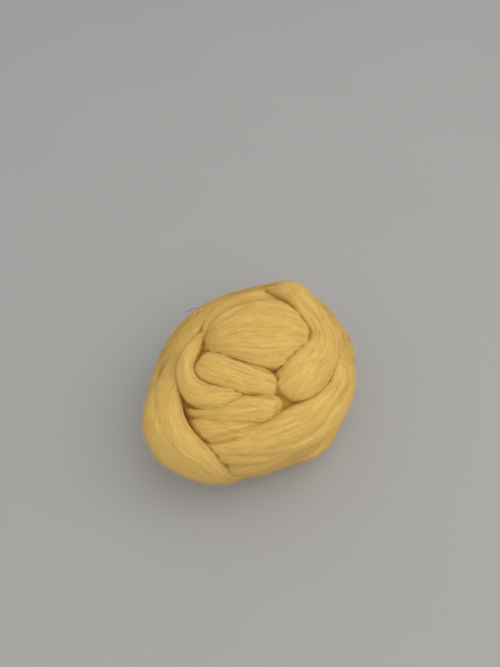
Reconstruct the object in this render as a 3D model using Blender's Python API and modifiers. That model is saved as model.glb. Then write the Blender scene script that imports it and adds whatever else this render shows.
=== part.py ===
"""A ball of combed wool roving, wound by hand, as one closed solid.

Units are metres, +Z is up, and the ball stands on the floor plane, z = 0, on the flat spot under it. The
origin is the middle of the footprint of its box.

The ball is an oval body with the main turns of the strand laid over it. Each turn is a flattened, tapering
band that follows the body, higher where it passes over another turn and lower where it dips under one. The
tables below give each turn a row for each place it passes. Their lengths are millimetres and their angles are
degrees.
"""

import math
from collections import namedtuple

import bmesh
import bpy
from mathutils import Matrix, Vector

MM = 0.001

# The oval body under the outer turns, before the floor flattens it.
BODY_LENGTH = 118.0
BODY_WIDTH = 94.0
BODY_HEIGHT = 74.0
LONG_AXIS_BEARING = 41.0
RELIEF = 5.5
FLAT_SPOT_DEPTH = 9.5
BODY_MERIDIANS = 48
BODY_PARALLELS = 24

# How near to the body's top or bottom, as a share of its half height, a place may be given by its height.
HIGHEST_SHARE = 0.98

# The direction the top of the ball is described from: a point straight in front, this high and this far away.
VIEW_ELEVATION = 62.0
VIEW_DISTANCE = 275.0

# The loft of a band: points around it, spacing along it, and the depth of its lengthwise ridges.
SECTION_POINTS = 28
SECTION_SPACING = 2.0
RIDGE_DEPTH = 0.7

# The blending of the bands into one skin.
BLEND_VOXEL = 1.5
SMOOTHING_PASSES = 3
SKIN_TRIANGLES = 10600

# A place on a band. Seen: measured across and up from the ball's middle, square to the direction above.
# Round: a compass bearing (0 right, 90 back, 180 left, 270 front) and a height over the floor.
Seen = namedtuple("Seen", "across up half_width lift")
Round = namedtuple("Round", "bearing height half_width lift")
Band = namedtuple("Band", "half_thickness ridges squareness places")

TOP_BACK = Band(
    half_thickness=6.0,
    ridges=2,
    squareness=2.6,
    places=[
        Seen(across=-31.2, up=22.1, half_width=3.0, lift=-5.0),
        Seen(across=-27.4, up=28.7, half_width=4.5, lift=-2.2),
        Seen(across=-22, up=35.2, half_width=6.5, lift=-1.2),
        Seen(across=-13.5, up=41, half_width=8.0, lift=-0.6),
        Seen(across=-1.9, up=45.7, half_width=9.0, lift=-0.4),
        Seen(across=10.5, up=48, half_width=9.5, lift=-0.8),
        Seen(across=22.8, up=45.7, half_width=9.0, lift=-2.0),
        Seen(across=32.9, up=39.1, half_width=7.0, lift=-5.0),
    ],
)

TOP_DOME = Band(
    half_thickness=7.5,
    ridges=2,
    squareness=3.0,
    places=[
        Seen(across=-33.1, up=16.7, half_width=3.0, lift=-7.0),
        Seen(across=-27.4, up=19.8, half_width=7.0, lift=-3.4),
        Seen(across=-20, up=23.7, half_width=12.3, lift=-1.2),
        Seen(across=-9.6, up=27.5, half_width=18.0, lift=-0.3),
        Seen(across=3.5, up=29.4, half_width=21.5, lift=-0.1),
        Seen(across=16.6, up=29.4, half_width=21.5, lift=-0.2),
        Seen(across=27.5, up=27.5, half_width=18.0, lift=-1.4),
        Seen(across=36.7, up=24.8, half_width=12.5, lift=-4.0),
        Seen(across=44.4, up=21.7, half_width=8.0, lift=-7.5),
    ],
)

MIDDLE_SAUSAGE = Band(
    half_thickness=5.6,
    ridges=1,
    squareness=2.3,
    places=[
        Seen(across=-37.2, up=14, half_width=4.0, lift=-6.0),
        Seen(across=-31.8, up=10.7, half_width=7.8, lift=-2.2),
        Seen(across=-22.7, up=7.3, half_width=9.3, lift=-0.6),
        Seen(across=-11.1, up=4, half_width=9.5, lift=-0.2),
        Seen(across=-1.9, up=0.7, half_width=9.0, lift=-0.2),
        Seen(across=7.4, up=-2.2, half_width=7.8, lift=-0.6),
        Seen(across=14.3, up=-4, half_width=6.2, lift=-2.0),
        Seen(across=20.5, up=-5.3, half_width=4.0, lift=-5.0),
    ],
)

LEFT_HOOK = Band(
    half_thickness=5.2,
    ridges=1,
    squareness=2.3,
    places=[
        Seen(across=-23.1, up=36, half_width=3.0, lift=-6.5),
        Seen(across=-27.2, up=30.5, half_width=3.6, lift=-3.4),
        Seen(across=-32.1, up=24.4, half_width=4.2, lift=-2.0),
        Seen(across=-36.2, up=18.3, half_width=4.6, lift=-1.2),
        Seen(across=-38.9, up=11.7, half_width=4.8, lift=-0.6),
        Seen(across=-39.9, up=4.4, half_width=5.0, lift=0.0),
        Seen(across=-37.2, up=-3.7, half_width=5.8, lift=0.4),
        Seen(across=-30.4, up=-9.5, half_width=6.6, lift=0.5),
        Seen(across=-21.2, up=-10.5, half_width=5.8, lift=0.1),
        Seen(across=-11.9, up=-9.5, half_width=4.8, lift=-0.8),
        Seen(across=-2.7, up=-7.8, half_width=3.6, lift=-2.4),
        Seen(across=5.1, up=-7.1, half_width=2.6, lift=-5.0),
    ],
)

LOWER_FOLD = Band(
    half_thickness=4.8,
    ridges=1,
    squareness=2.3,
    places=[
        Seen(across=-45.5, up=-11.5, half_width=5.0, lift=-5.0),
        Seen(across=-38.2, up=-15.3, half_width=6.4, lift=-2.6),
        Seen(across=-28.9, up=-17.6, half_width=6.0, lift=-1.8),
        Seen(across=-18.9, up=-18.8, half_width=6.0, lift=-1.2),
        Seen(across=-8.1, up=-18, half_width=7.0, lift=-0.3),
        Seen(across=1.2, up=-16.9, half_width=7.8, lift=0.0),
        Seen(across=8.2, up=-16.8, half_width=7.6, lift=-0.4),
        Seen(across=14.3, up=-17.7, half_width=6.8, lift=-2.2),
        Seen(across=20.5, up=-19, half_width=5.8, lift=-4.8),
        Seen(across=26.7, up=-20.2, half_width=4.2, lift=-8.0),
    ],
)

LOWER_FAN = Band(
    half_thickness=4.2,
    ridges=2,
    squareness=2.4,
    places=[
        Seen(across=-44.3, up=-24.6, half_width=6.5, lift=-4.5),
        Seen(across=-36.6, up=-26.9, half_width=7.4, lift=-2.4),
        Seen(across=-28.1, up=-29.2, half_width=7.2, lift=-1.6),
        Seen(across=-18.9, up=-29.4, half_width=6.6, lift=-1.2),
        Seen(across=-8.1, up=-28.2, half_width=5.6, lift=-1.0),
        Seen(across=1.2, up=-26.2, half_width=4.6, lift=-1.2),
        Seen(across=9.7, up=-23.8, half_width=3.6, lift=-1.8),
        Seen(across=16.6, up=-21.5, half_width=2.8, lift=-4.5),
    ],
)

RIGHT_SHOULDER = Band(
    half_thickness=5.8,
    ridges=2,
    squareness=2.5,
    places=[
        Round(bearing=168, height=14, half_width=8.0, lift=-5.5),
        Round(bearing=152, height=24, half_width=9.0, lift=-3.2),
        Round(bearing=134, height=35, half_width=9.0, lift=-2.4),
        Round(bearing=115, height=45, half_width=8.4, lift=-2.0),
        Round(bearing=97, height=53, half_width=7.6, lift=-3.4),
        Round(bearing=79, height=62, half_width=6.6, lift=-0.6),
        Seen(across=19, up=47.7, half_width=6.2, lift=6.0),
        Seen(across=25.1, up=44.7, half_width=6.8, lift=6.0),
        Seen(across=31.7, up=39.1, half_width=7.4, lift=3.8),
        Seen(across=38.3, up=32.2, half_width=8.0, lift=1.4),
        Seen(across=42.3, up=24.4, half_width=9.0, lift=0.4),
        Seen(across=41.7, up=16.7, half_width=10.2, lift=1.0),
        Seen(across=37.1, up=9.6, half_width=11.0, lift=1.8),
        Seen(across=31.6, up=3.4, half_width=11.3, lift=2.2),
        Seen(across=27.5, up=-0.9, half_width=10.8, lift=1.4),
        Seen(across=23.4, up=-5.1, half_width=10.2, lift=-0.8),
        Seen(across=19.7, up=-8.9, half_width=9.4, lift=-3.2),
        Seen(across=16.2, up=-12.6, half_width=8.2, lift=-5.8),
        Seen(across=12.6, up=-16.2, half_width=6.5, lift=-9.0),
    ],
)

RIGHT_WRAP = Band(
    half_thickness=5.6,
    ridges=3,
    squareness=2.4,
    places=[
        Round(bearing=150, height=20, half_width=8.0, lift=-5.5),
        Round(bearing=128, height=29, half_width=9.0, lift=-3.4),
        Round(bearing=106, height=38, half_width=9.0, lift=-3.0),
        Round(bearing=84, height=45, half_width=8.8, lift=-3.0),
        Round(bearing=62, height=51, half_width=8.6, lift=-3.2),
        Round(bearing=43, height=55, half_width=8.0, lift=-3.4),
        Round(bearing=27, height=57.5, half_width=8.0, lift=-3.0),
        Seen(across=50, up=22.1, half_width=8.6, lift=-2.4),
        Seen(across=52.3, up=12.9, half_width=9.4, lift=-1.2),
        Seen(across=52.8, up=3.4, half_width=10.6, lift=0.8),
        Seen(across=50.8, up=-6.8, half_width=11.8, lift=1.4),
        Seen(across=44.8, up=-16.5, half_width=12.4, lift=2.4),
        Seen(across=35.6, up=-25, half_width=12.6, lift=1.6),
        Seen(across=24.4, up=-31.9, half_width=12.2, lift=0.6),
        Seen(across=12, up=-36.9, half_width=11.6, lift=-0.4),
        Seen(across=-1.1, up=-40, half_width=11.0, lift=-1.2),
        Seen(across=-15, up=-40.8, half_width=10.2, lift=-2.0),
        Seen(across=-28.9, up=-36.6, half_width=9.0, lift=-3.6),
        Seen(across=-39.7, up=-25.7, half_width=8.0, lift=-5.0),
    ],
)

LEFT_WRAP = Band(
    half_thickness=5.4,
    ridges=4,
    squareness=2.4,
    places=[
        Round(bearing=28, height=18, half_width=7.0, lift=-5.5),
        Round(bearing=46, height=29, half_width=8.5, lift=-2.8),
        Round(bearing=66, height=40, half_width=9.0, lift=-2.2),
        Round(bearing=87, height=50, half_width=8.6, lift=-3.0),
        Round(bearing=108, height=56, half_width=7.4, lift=-3.2),
        Seen(across=-28.9, up=36.8, half_width=6.4, lift=-1.4),
        Seen(across=-35.5, up=30.6, half_width=6.6, lift=-1.2),
        Seen(across=-41.6, up=22.1, half_width=7.4, lift=-1.8),
        Seen(across=-46.4, up=12.1, half_width=7.6, lift=-3.0),
        Seen(across=-49.1, up=0.9, half_width=8.4, lift=-1.8),
        Seen(across=-51.3, up=-10.7, half_width=9.6, lift=1.8),
        Seen(across=-50.4, up=-21.9, half_width=10.8, lift=4.6),
        Seen(across=-46, up=-32.7, half_width=11.4, lift=5.6),
        Seen(across=-38.9, up=-42.2, half_width=11.6, lift=4.2),
        Seen(across=-30.4, up=-49.7, half_width=11.2, lift=1.8),
        Round(bearing=253, height=29, half_width=10.6, lift=-1.6),
        Round(bearing=262, height=17, half_width=9.6, lift=-3.8),
        Round(bearing=270, height=6, half_width=9.0, lift=-4.4),
        Round(bearing=278, height=-4, half_width=8.0, lift=-6.5),
    ],
)

LOW_TURN = Band(
    half_thickness=5.4,
    ridges=3,
    squareness=2.4,
    places=[
        Round(bearing=262, height=7, half_width=8.0, lift=-6.0),
        Round(bearing=280, height=8, half_width=9.0, lift=-3.6),
        Round(bearing=298, height=9, half_width=9.5, lift=-0.4),
        Round(bearing=316, height=10, half_width=10.0, lift=4.4),
        Round(bearing=332, height=11, half_width=9.5, lift=4.6),
        Round(bearing=350, height=13, half_width=9.5, lift=0.0),
        Round(bearing=8, height=15, half_width=9.5, lift=-0.2),
        Round(bearing=35, height=16, half_width=10.0, lift=-0.4),
        Round(bearing=70, height=15, half_width=10.0, lift=-0.4),
        Round(bearing=105, height=13, half_width=10.0, lift=-0.6),
        Round(bearing=140, height=13, half_width=9.0, lift=-1.5),
        Round(bearing=170, height=16, half_width=8.0, lift=-4.5),
    ],
)

LOW_LEFT_TURN = Band(
    half_thickness=5.2,
    ridges=3,
    squareness=2.4,
    places=[
        Round(bearing=112, height=24, half_width=8.0, lift=-4.5),
        Round(bearing=140, height=22, half_width=9.5, lift=-0.8),
        Round(bearing=168, height=17, half_width=10.0, lift=-2.2),
        Round(bearing=196, height=12, half_width=9.5, lift=-2.2),
        Round(bearing=222, height=9, half_width=9.0, lift=-1.6),
        Round(bearing=246, height=6, half_width=8.0, lift=-4.5),
    ],
)

BACK_WRAP = Band(
    half_thickness=5.6,
    ridges=4,
    squareness=2.4,
    places=[
        Round(bearing=205, height=20, half_width=8.0, lift=-6.0),
        Round(bearing=182, height=26, half_width=10.0, lift=-4.4),
        Round(bearing=158, height=31, half_width=12.0, lift=-2.6),
        Round(bearing=132, height=36, half_width=13.0, lift=-0.8),
        Round(bearing=106, height=40, half_width=13.0, lift=-2.0),
        Round(bearing=80, height=40, half_width=13.0, lift=-2.0),
        Round(bearing=55, height=38, half_width=12.5, lift=-2.2),
        Round(bearing=32, height=38, half_width=12.0, lift=-4.8),
        Round(bearing=12, height=42, half_width=11.0, lift=-3.6),
        Round(bearing=352, height=45, half_width=8.0, lift=-6.0),
    ],
)

BACK_CROSSING = Band(
    half_thickness=5.4,
    ridges=3,
    squareness=2.4,
    places=[
        Round(bearing=8, height=30, half_width=8.0, lift=-5.5),
        Round(bearing=30, height=26, half_width=10.0, lift=-2.0),
        Round(bearing=55, height=22, half_width=11.0, lift=0.4),
        Round(bearing=80, height=22, half_width=11.0, lift=1.0),
        Round(bearing=105, height=26, half_width=11.0, lift=1.0),
        Round(bearing=130, height=33, half_width=11.0, lift=0.0),
        Round(bearing=150, height=41, half_width=10.5, lift=-2.6),
        Round(bearing=168, height=46, half_width=9.0, lift=-4.4),
        Round(bearing=184, height=49, half_width=8.0, lift=-7.0),
    ],
)

FRONT_LOW = Band(
    half_thickness=5.4,
    ridges=3,
    squareness=2.4,
    places=[
        Round(bearing=158, height=27, half_width=8.0, lift=-6.0),
        Round(bearing=180, height=27, half_width=11.0, lift=-4.4),
        Round(bearing=202, height=26, half_width=12.5, lift=-4.0),
        Round(bearing=224, height=23, half_width=13.0, lift=-4.0),
        Round(bearing=246, height=20, half_width=13.0, lift=-4.4),
        Round(bearing=268, height=18, half_width=13.0, lift=-4.6),
        Round(bearing=290, height=19, half_width=13.0, lift=-3.6),
        Round(bearing=310, height=21, half_width=13.0, lift=-2.4),
        Round(bearing=330, height=25, half_width=13.0, lift=-2.8),
        Round(bearing=350, height=31, half_width=13.0, lift=-3.0),
        Round(bearing=12, height=39, half_width=13.0, lift=-3.8),
        Round(bearing=34, height=48, half_width=12.5, lift=-4.8),
        Round(bearing=56, height=55, half_width=11.0, lift=-4.0),
        Round(bearing=78, height=58, half_width=8.0, lift=-7.0),
    ],
)

LEFT_SIDE = Band(
    half_thickness=5.2,
    ridges=3,
    squareness=2.4,
    places=[
        Round(bearing=98, height=36, half_width=8.0, lift=-6.0),
        Round(bearing=122, height=42, half_width=11.0, lift=-3.4),
        Round(bearing=146, height=46, half_width=12.5, lift=-4.0),
        Round(bearing=170, height=47, half_width=13.0, lift=-5.2),
        Round(bearing=194, height=43, half_width=13.0, lift=-4.8),
        Round(bearing=216, height=34, half_width=12.5, lift=-3.8),
        Round(bearing=236, height=23, half_width=11.0, lift=-3.8),
        Round(bearing=254, height=14, half_width=8.0, lift=-6.0),
    ],
)

FRONT_MID = Band(
    half_thickness=5.4,
    ridges=2,
    squareness=2.4,
    places=[
        Round(bearing=226, height=42, half_width=8.0, lift=-6.0),
        Round(bearing=246, height=40, half_width=8.5, lift=-3.2),
        Round(bearing=268, height=39, half_width=8.5, lift=-3.8),
        Round(bearing=290, height=38, half_width=8.5, lift=-3.6),
        Round(bearing=311, height=39, half_width=9.0, lift=-3.0),
        Round(bearing=331, height=42, half_width=9.0, lift=-3.2),
        Round(bearing=348, height=47, half_width=8.0, lift=-6.0),
    ],
)

BACK_TOP = Band(
    half_thickness=5.2,
    ridges=2,
    squareness=2.4,
    places=[
        Round(bearing=352, height=48, half_width=8.0, lift=-6.5),
        Round(bearing=14, height=53, half_width=9.5, lift=-4.6),
        Round(bearing=36, height=57, half_width=10.0, lift=-4.0),
        Round(bearing=60, height=58, half_width=10.0, lift=-3.2),
        Round(bearing=84, height=57, half_width=10.0, lift=-3.2),
        Round(bearing=108, height=55, half_width=10.0, lift=-3.4),
        Round(bearing=130, height=53, half_width=9.5, lift=-4.0),
        Round(bearing=152, height=53, half_width=9.5, lift=-4.4),
        Round(bearing=172, height=53, half_width=9.0, lift=-4.8),
        Round(bearing=194, height=51, half_width=8.0, lift=-6.5),
    ],
)

BANDS = {
    "top_back": TOP_BACK,
    "top_dome": TOP_DOME,
    "middle_sausage": MIDDLE_SAUSAGE,
    "left_hook": LEFT_HOOK,
    "lower_fold": LOWER_FOLD,
    "lower_fan": LOWER_FAN,
    "right_shoulder": RIGHT_SHOULDER,
    "right_wrap": RIGHT_WRAP,
    "left_wrap": LEFT_WRAP,
    "low_turn": LOW_TURN,
    "low_left_turn": LOW_LEFT_TURN,
    "back_wrap": BACK_WRAP,
    "back_crossing": BACK_CROSSING,
    "front_low": FRONT_LOW,
    "left_side": LEFT_SIDE,
    "front_mid": FRONT_MID,
    "back_top": BACK_TOP,
}

# Pale yellow wool, matt.
WOOL_COLOUR = (0.68, 0.45, 0.14, 1.0)
WOOL_ROUGHNESS = 0.9

# The body's half-axes along its length, width and height, and the turn that lays its length on its bearing.
HALF_AXES = Vector((BODY_LENGTH, BODY_WIDTH, BODY_HEIGHT)) / 2
OUTER_AXES = HALF_AXES + Vector((RELIEF, RELIEF, RELIEF))
LAY = Matrix.Rotation(math.radians(LONG_AXIS_BEARING), 3, "Z")
CENTRE_HEIGHT = OUTER_AXES.z - FLAT_SPOT_DEPTH


def divided(vector, by):
    """The vector with each part divided by that of another."""
    return Vector(a / b for a, b in zip(vector, by))


def multiplied(vector, by):
    """The vector with each part multiplied by that of another."""
    return Vector(a * b for a, b in zip(vector, by))


def direction_seen(place):
    """The direction, on the unit ball that the body is scaled from, of a place given across and up."""
    elevation = math.radians(VIEW_ELEVATION)
    towards = Vector((0, -math.cos(elevation), math.sin(elevation)))
    upwards = Vector((0, math.sin(elevation), math.cos(elevation)))
    eye = towards * VIEW_DISTANCE
    target = Vector((1, 0, 0)) * place.across + upwards * place.up
    start = divided(LAY.transposed() @ eye, OUTER_AXES)
    along = divided(LAY.transposed() @ (target - eye), OUTER_AXES).normalized()
    nearest = start - along * start.dot(along)
    missed_by = nearest.length
    if missed_by < 1:
        nearest -= along * math.sqrt(1 - missed_by**2)
    return nearest.normalized()


def direction_round(place):
    """The direction, on the unit ball that the body is scaled from, of a place by bearing and height."""
    bearing = math.radians(place.bearing - LONG_AXIS_BEARING)
    rise = (place.height - CENTRE_HEIGHT) / OUTER_AXES.z
    rise = max(-HIGHEST_SHARE, min(HIGHEST_SHARE, rise))
    level = math.sqrt(1 - rise**2)
    flat = Vector((math.cos(bearing) / OUTER_AXES.x, math.sin(bearing) / OUTER_AXES.y, 0)).normalized()
    return Vector((flat.x * level, flat.y * level, rise))


def direction_of(place):
    """The direction of any place on a band."""
    return direction_seen(place) if isinstance(place, Seen) else direction_round(place)


def on_body(direction, height):
    """The point that stands this high over the body in a direction of the unit ball, in millimetres."""
    unit = direction.normalized()
    foot = multiplied(unit, HALF_AXES)
    outwards = divided(unit, HALF_AXES).normalized()
    return LAY @ (foot + outwards * height) + Vector((0, 0, CENTRE_HEIGHT))


def blended(before, start, end, after, share):
    """A value on the smooth curve through four, at a share of the way from the second to the third."""
    slope_start = (end - before) * 0.5
    slope_end = (after - start) * 0.5
    rest = 1 - share
    return (
        start * (1 + 2 * share) * rest**2
        + slope_start * share * rest**2
        + end * share**2 * (3 - 2 * share)
        - slope_end * share**2 * rest
    )


def stations(band):
    """(direction, half width, lift) at even steps along a band."""
    directions = [direction_of(place) for place in band.places]
    widths = [place.half_width for place in band.places]
    lifts = [place.lift for place in band.places]
    last = len(band.places) - 1
    found = []
    for index in range(last):
        run = (max(index - 1, 0), index, index + 1, min(index + 2, last))
        length = (on_body(directions[index + 1], 0) - on_body(directions[index], 0)).length
        steps = max(2, round(length / SECTION_SPACING))
        for step in range(steps + (index == last - 1)):
            share = step / steps
            found.append(
                (
                    blended(*(directions[i] for i in run), share).normalized(),
                    blended(*(widths[i] for i in run), share),
                    blended(*(lifts[i] for i in run), share),
                )
            )
    return found


def section(ahead, behind, direction, half_width, lift, band):
    """The ring of points of a band's section, wrapped to the body's curve on both sides of its middle."""
    middle = on_body(direction, 0)
    forwards = (on_body(ahead, 0) - on_body(behind, 0)).normalized()
    outwards = (on_body(direction, 1) - middle).normalized()
    sideways = LAY.transposed() @ forwards.cross(outwards).normalized()
    ring = []
    for number in range(SECTION_POINTS):
        angle = 2 * math.pi * number / SECTION_POINTS
        across = math.copysign(abs(math.cos(angle)) ** (2 / band.squareness), math.cos(angle))
        depth = math.copysign(abs(math.sin(angle)) ** (2 / band.squareness), math.sin(angle))
        ridge = RIDGE_DEPTH * math.cos(math.pi * band.ridges * (across + 1)) * (1 - across**2)
        swell = band.half_thickness * depth - (ridge if depth > 0 else 0)
        foot = multiplied(direction, HALF_AXES) + sideways * (across * half_width)
        ring.append(on_body(divided(foot, HALF_AXES), lift + swell))
    return ring


def lofted(band):
    """The closed mesh of one band, as a bmesh."""
    places = stations(band)
    mesh = bmesh.new()
    rings = []
    for index, (direction, half_width, lift) in enumerate(places):
        ahead = places[min(index + 1, len(places) - 1)][0]
        behind = places[max(index - 1, 0)][0]
        ring = section(ahead, behind, direction, half_width, lift, band)
        rings.append([mesh.verts.new(point * MM) for point in ring])
    for near, far in zip(rings, rings[1:]):
        for side in range(SECTION_POINTS):
            turn = (side + 1) % SECTION_POINTS
            mesh.faces.new((near[side], near[turn], far[turn], far[side]))
    mesh.faces.new(rings[0])
    mesh.faces.new(reversed(rings[-1]))
    bmesh.ops.recalc_face_normals(mesh, faces=mesh.faces)
    return mesh


def body_mesh():
    """The oval body, from a sphere stretched to its three half-axes."""
    mesh = bmesh.new()
    bmesh.ops.create_uvsphere(mesh, u_segments=BODY_MERIDIANS, v_segments=BODY_PARALLELS, radius=1)
    for vert in mesh.verts:
        vert.co = on_body(vert.co, 0) * MM
    return mesh


def object_of(name, mesh, collection):
    """A new object that holds the mesh, in a collection."""
    data = bpy.data.meshes.new(name)
    mesh.to_mesh(data)
    mesh.free()
    made = bpy.data.objects.new(name, data)
    collection.objects.link(made)
    return made


def joined(name, meshes, collection):
    """One object that holds all the meshes, which still overlap one another."""
    whole = bmesh.new()
    for mesh in meshes:
        piece = bpy.data.meshes.new("piece")
        mesh.to_mesh(piece)
        mesh.free()
        whole.from_mesh(piece)
        bpy.data.meshes.remove(piece)
    return object_of(name, whole, collection)


def settle(obj):
    """Turns the object's modifiers into its mesh."""
    graph = bpy.context.evaluated_depsgraph_get()
    shaped = bpy.data.meshes.new_from_object(obj.evaluated_get(graph))
    obj.modifiers.clear()
    old = obj.data
    obj.data = shaped
    bpy.data.meshes.remove(old)
    shaped.name = obj.name


def keep_outer_skin(obj):
    """Deletes every loose island of faces but the largest, so that no sealed hollow stays inside."""
    mesh = bmesh.new()
    mesh.from_mesh(obj.data)
    left = set(mesh.verts)
    islands = []
    while left:
        island = {left.pop()}
        edge_of_island = list(island)
        while edge_of_island:
            vert = edge_of_island.pop()
            for edge in vert.link_edges:
                other = edge.other_vert(vert)
                if other in left:
                    left.remove(other)
                    island.add(other)
                    edge_of_island.append(other)
        islands.append(island)
    largest = max(islands, key=len)
    inner = [vert for vert in mesh.verts if vert not in largest]
    bmesh.ops.delete(mesh, geom=inner, context="VERTS")
    mesh.to_mesh(obj.data)
    mesh.free()


def blend_bands(obj):
    """Merges the body and the bands into one skin, and thins it to a light mesh."""
    remesh = obj.modifiers.new("blend", "REMESH")
    remesh.mode = "VOXEL"
    remesh.voxel_size = BLEND_VOXEL * MM
    soften = obj.modifiers.new("soften", "SMOOTH")
    soften.iterations = SMOOTHING_PASSES
    settle(obj)
    keep_outer_skin(obj)
    thin = obj.modifiers.new("thin", "DECIMATE")
    thin.ratio = SKIN_TRIANGLES / (2 * len(obj.data.polygons))
    thin.use_collapse_triangulate = True
    settle(obj)


def press_flat(obj, cutters):
    """Cuts the underside level with the floor."""
    block = bmesh.new()
    bmesh.ops.create_cube(block, size=1)
    size = Vector((2 * BODY_LENGTH, 2 * BODY_LENGTH, BODY_HEIGHT)) * MM
    bmesh.ops.scale(block, vec=size, verts=block.verts)
    bmesh.ops.translate(block, vec=Vector((0, 0, -BODY_HEIGHT / 2)) * MM, verts=block.verts)
    floor = object_of("floor_cutter", block, cutters)
    floor.hide_render = True
    floor.display_type = "WIRE"
    level = obj.modifiers.new("level", "BOOLEAN")
    level.operation = "DIFFERENCE"
    level.object = floor
    settle(obj)


def stand_on_origin(obj):
    """Moves the mesh so that the middle of its footprint is the origin."""
    spans = [[getattr(vert.co, axis) for vert in obj.data.vertices] for axis in "xyz"]
    middle = Vector(((min(x) + max(x)) / 2 for x in spans[:2])).to_3d()
    middle.z = min(spans[2])
    obj.data.transform(Matrix.Translation(-middle))


def wool():
    """The material of the ball."""
    material = bpy.data.materials.new("pale_yellow_wool")
    material.use_nodes = True
    shader = material.node_tree.nodes["Principled BSDF"]
    shader.inputs["Base Color"].default_value = WOOL_COLOUR
    shader.inputs["Roughness"].default_value = WOOL_ROUGHNESS
    shader.inputs["Metallic"].default_value = 0.0
    return material


def collection_named(name):
    """A new collection in the scene."""
    made = bpy.data.collections.new(name)
    bpy.context.scene.collection.children.link(made)
    return made


def build():
    """Clears the scene and makes the ball."""
    for obj in list(bpy.data.objects):
        bpy.data.objects.remove(obj)
    parts = collection_named("wool_roving")
    cutters = collection_named("cutters")
    ball = joined("roving_ball", [body_mesh()] + [lofted(band) for band in BANDS.values()], parts)
    blend_bands(ball)
    press_flat(ball, cutters)
    stand_on_origin(ball)
    ball.data.materials.clear()
    ball.data.materials.append(wool())
    ball.data.shade_smooth()


build()
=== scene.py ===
"""A hand-wound ball of combed wool roving, dressed for a studio view.

The ball is an oval body with the turns of one soft strand wrapped over it. Each turn follows the same table
of places as the plain solid does, and gets its locks, its grooves and its loose fibres here. Lengths in the
tables, fields and arguments are millimetres and angles are degrees; meshes are metres.
"""

import logging
import math
from dataclasses import dataclass, replace
from enum import Enum

import bpy
import numpy as np
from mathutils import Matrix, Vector
from mathutils.bvhtree import BVHTree
from numpy.typing import NDArray


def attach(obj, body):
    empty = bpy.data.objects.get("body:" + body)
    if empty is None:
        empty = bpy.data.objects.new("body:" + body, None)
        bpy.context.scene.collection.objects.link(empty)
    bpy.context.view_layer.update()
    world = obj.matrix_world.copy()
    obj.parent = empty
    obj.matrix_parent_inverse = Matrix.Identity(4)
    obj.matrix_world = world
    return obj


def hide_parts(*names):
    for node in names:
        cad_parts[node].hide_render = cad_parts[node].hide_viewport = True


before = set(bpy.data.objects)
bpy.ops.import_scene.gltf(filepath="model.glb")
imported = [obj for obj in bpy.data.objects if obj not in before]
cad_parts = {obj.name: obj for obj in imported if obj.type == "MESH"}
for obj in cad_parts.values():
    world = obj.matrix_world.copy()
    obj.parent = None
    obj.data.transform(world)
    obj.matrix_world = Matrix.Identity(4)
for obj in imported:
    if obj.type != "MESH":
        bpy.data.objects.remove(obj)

MM = 0.001
Array = NDArray[np.float64]
TreeNode = bpy.types.Node
Socket = bpy.types.NodeSocket
Inputs = dict[str | int, object]
LOG = logging.getLogger("wool_roving")
NODE = "roving_ball"
FIBRE_RUN = "fibre_run"
# The attribute of measured shelter (occlusion), which the finishes paint crease shade from.
SHELTER = "shelter"
BAKE_MAP = "OFBake"
SIDES_OF_FIBRE = 3

# How near to the body's top or bottom, as a share of its half height, a place may be given by its height.
HIGHEST_SHARE = 0.98

# Points that a turn's section is measured with before its own points are spaced evenly on it.
SECTION_SAMPLES = 6001

# On the bake map each turn is one strip with a small disc for each end. These are shares of the map's
# width, and of the strip's height.
STRIP_START, STRIP_LENGTH, STRIP_MARGIN = 0.01, 0.955, 0.02
DISC_MIDDLE, DISC_RADIUS = 0.985, 0.006
DISC_UP, DISC_STEP, DISC_HALF_HEIGHT = 0.3, 0.4, 0.2

# Each loose fibre has its own cell of the map, and its own place in the noise that tints it.
CELL_START, CELL_LENGTH, CAP_LENGTH = 0.12, 0.76, 0.05
CELL_FLOOR, CELL_HEIGHT = 0.1, 0.8
STEP_APART, FIBRE_APART, TINT_APART, TINTS = 0.3, 7.31, 1.7, 13


def unit(vectors: Array) -> Array:
    """The vectors, each with a length of one."""
    return vectors / np.linalg.norm(vectors, axis=-1, keepdims=True)


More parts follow.
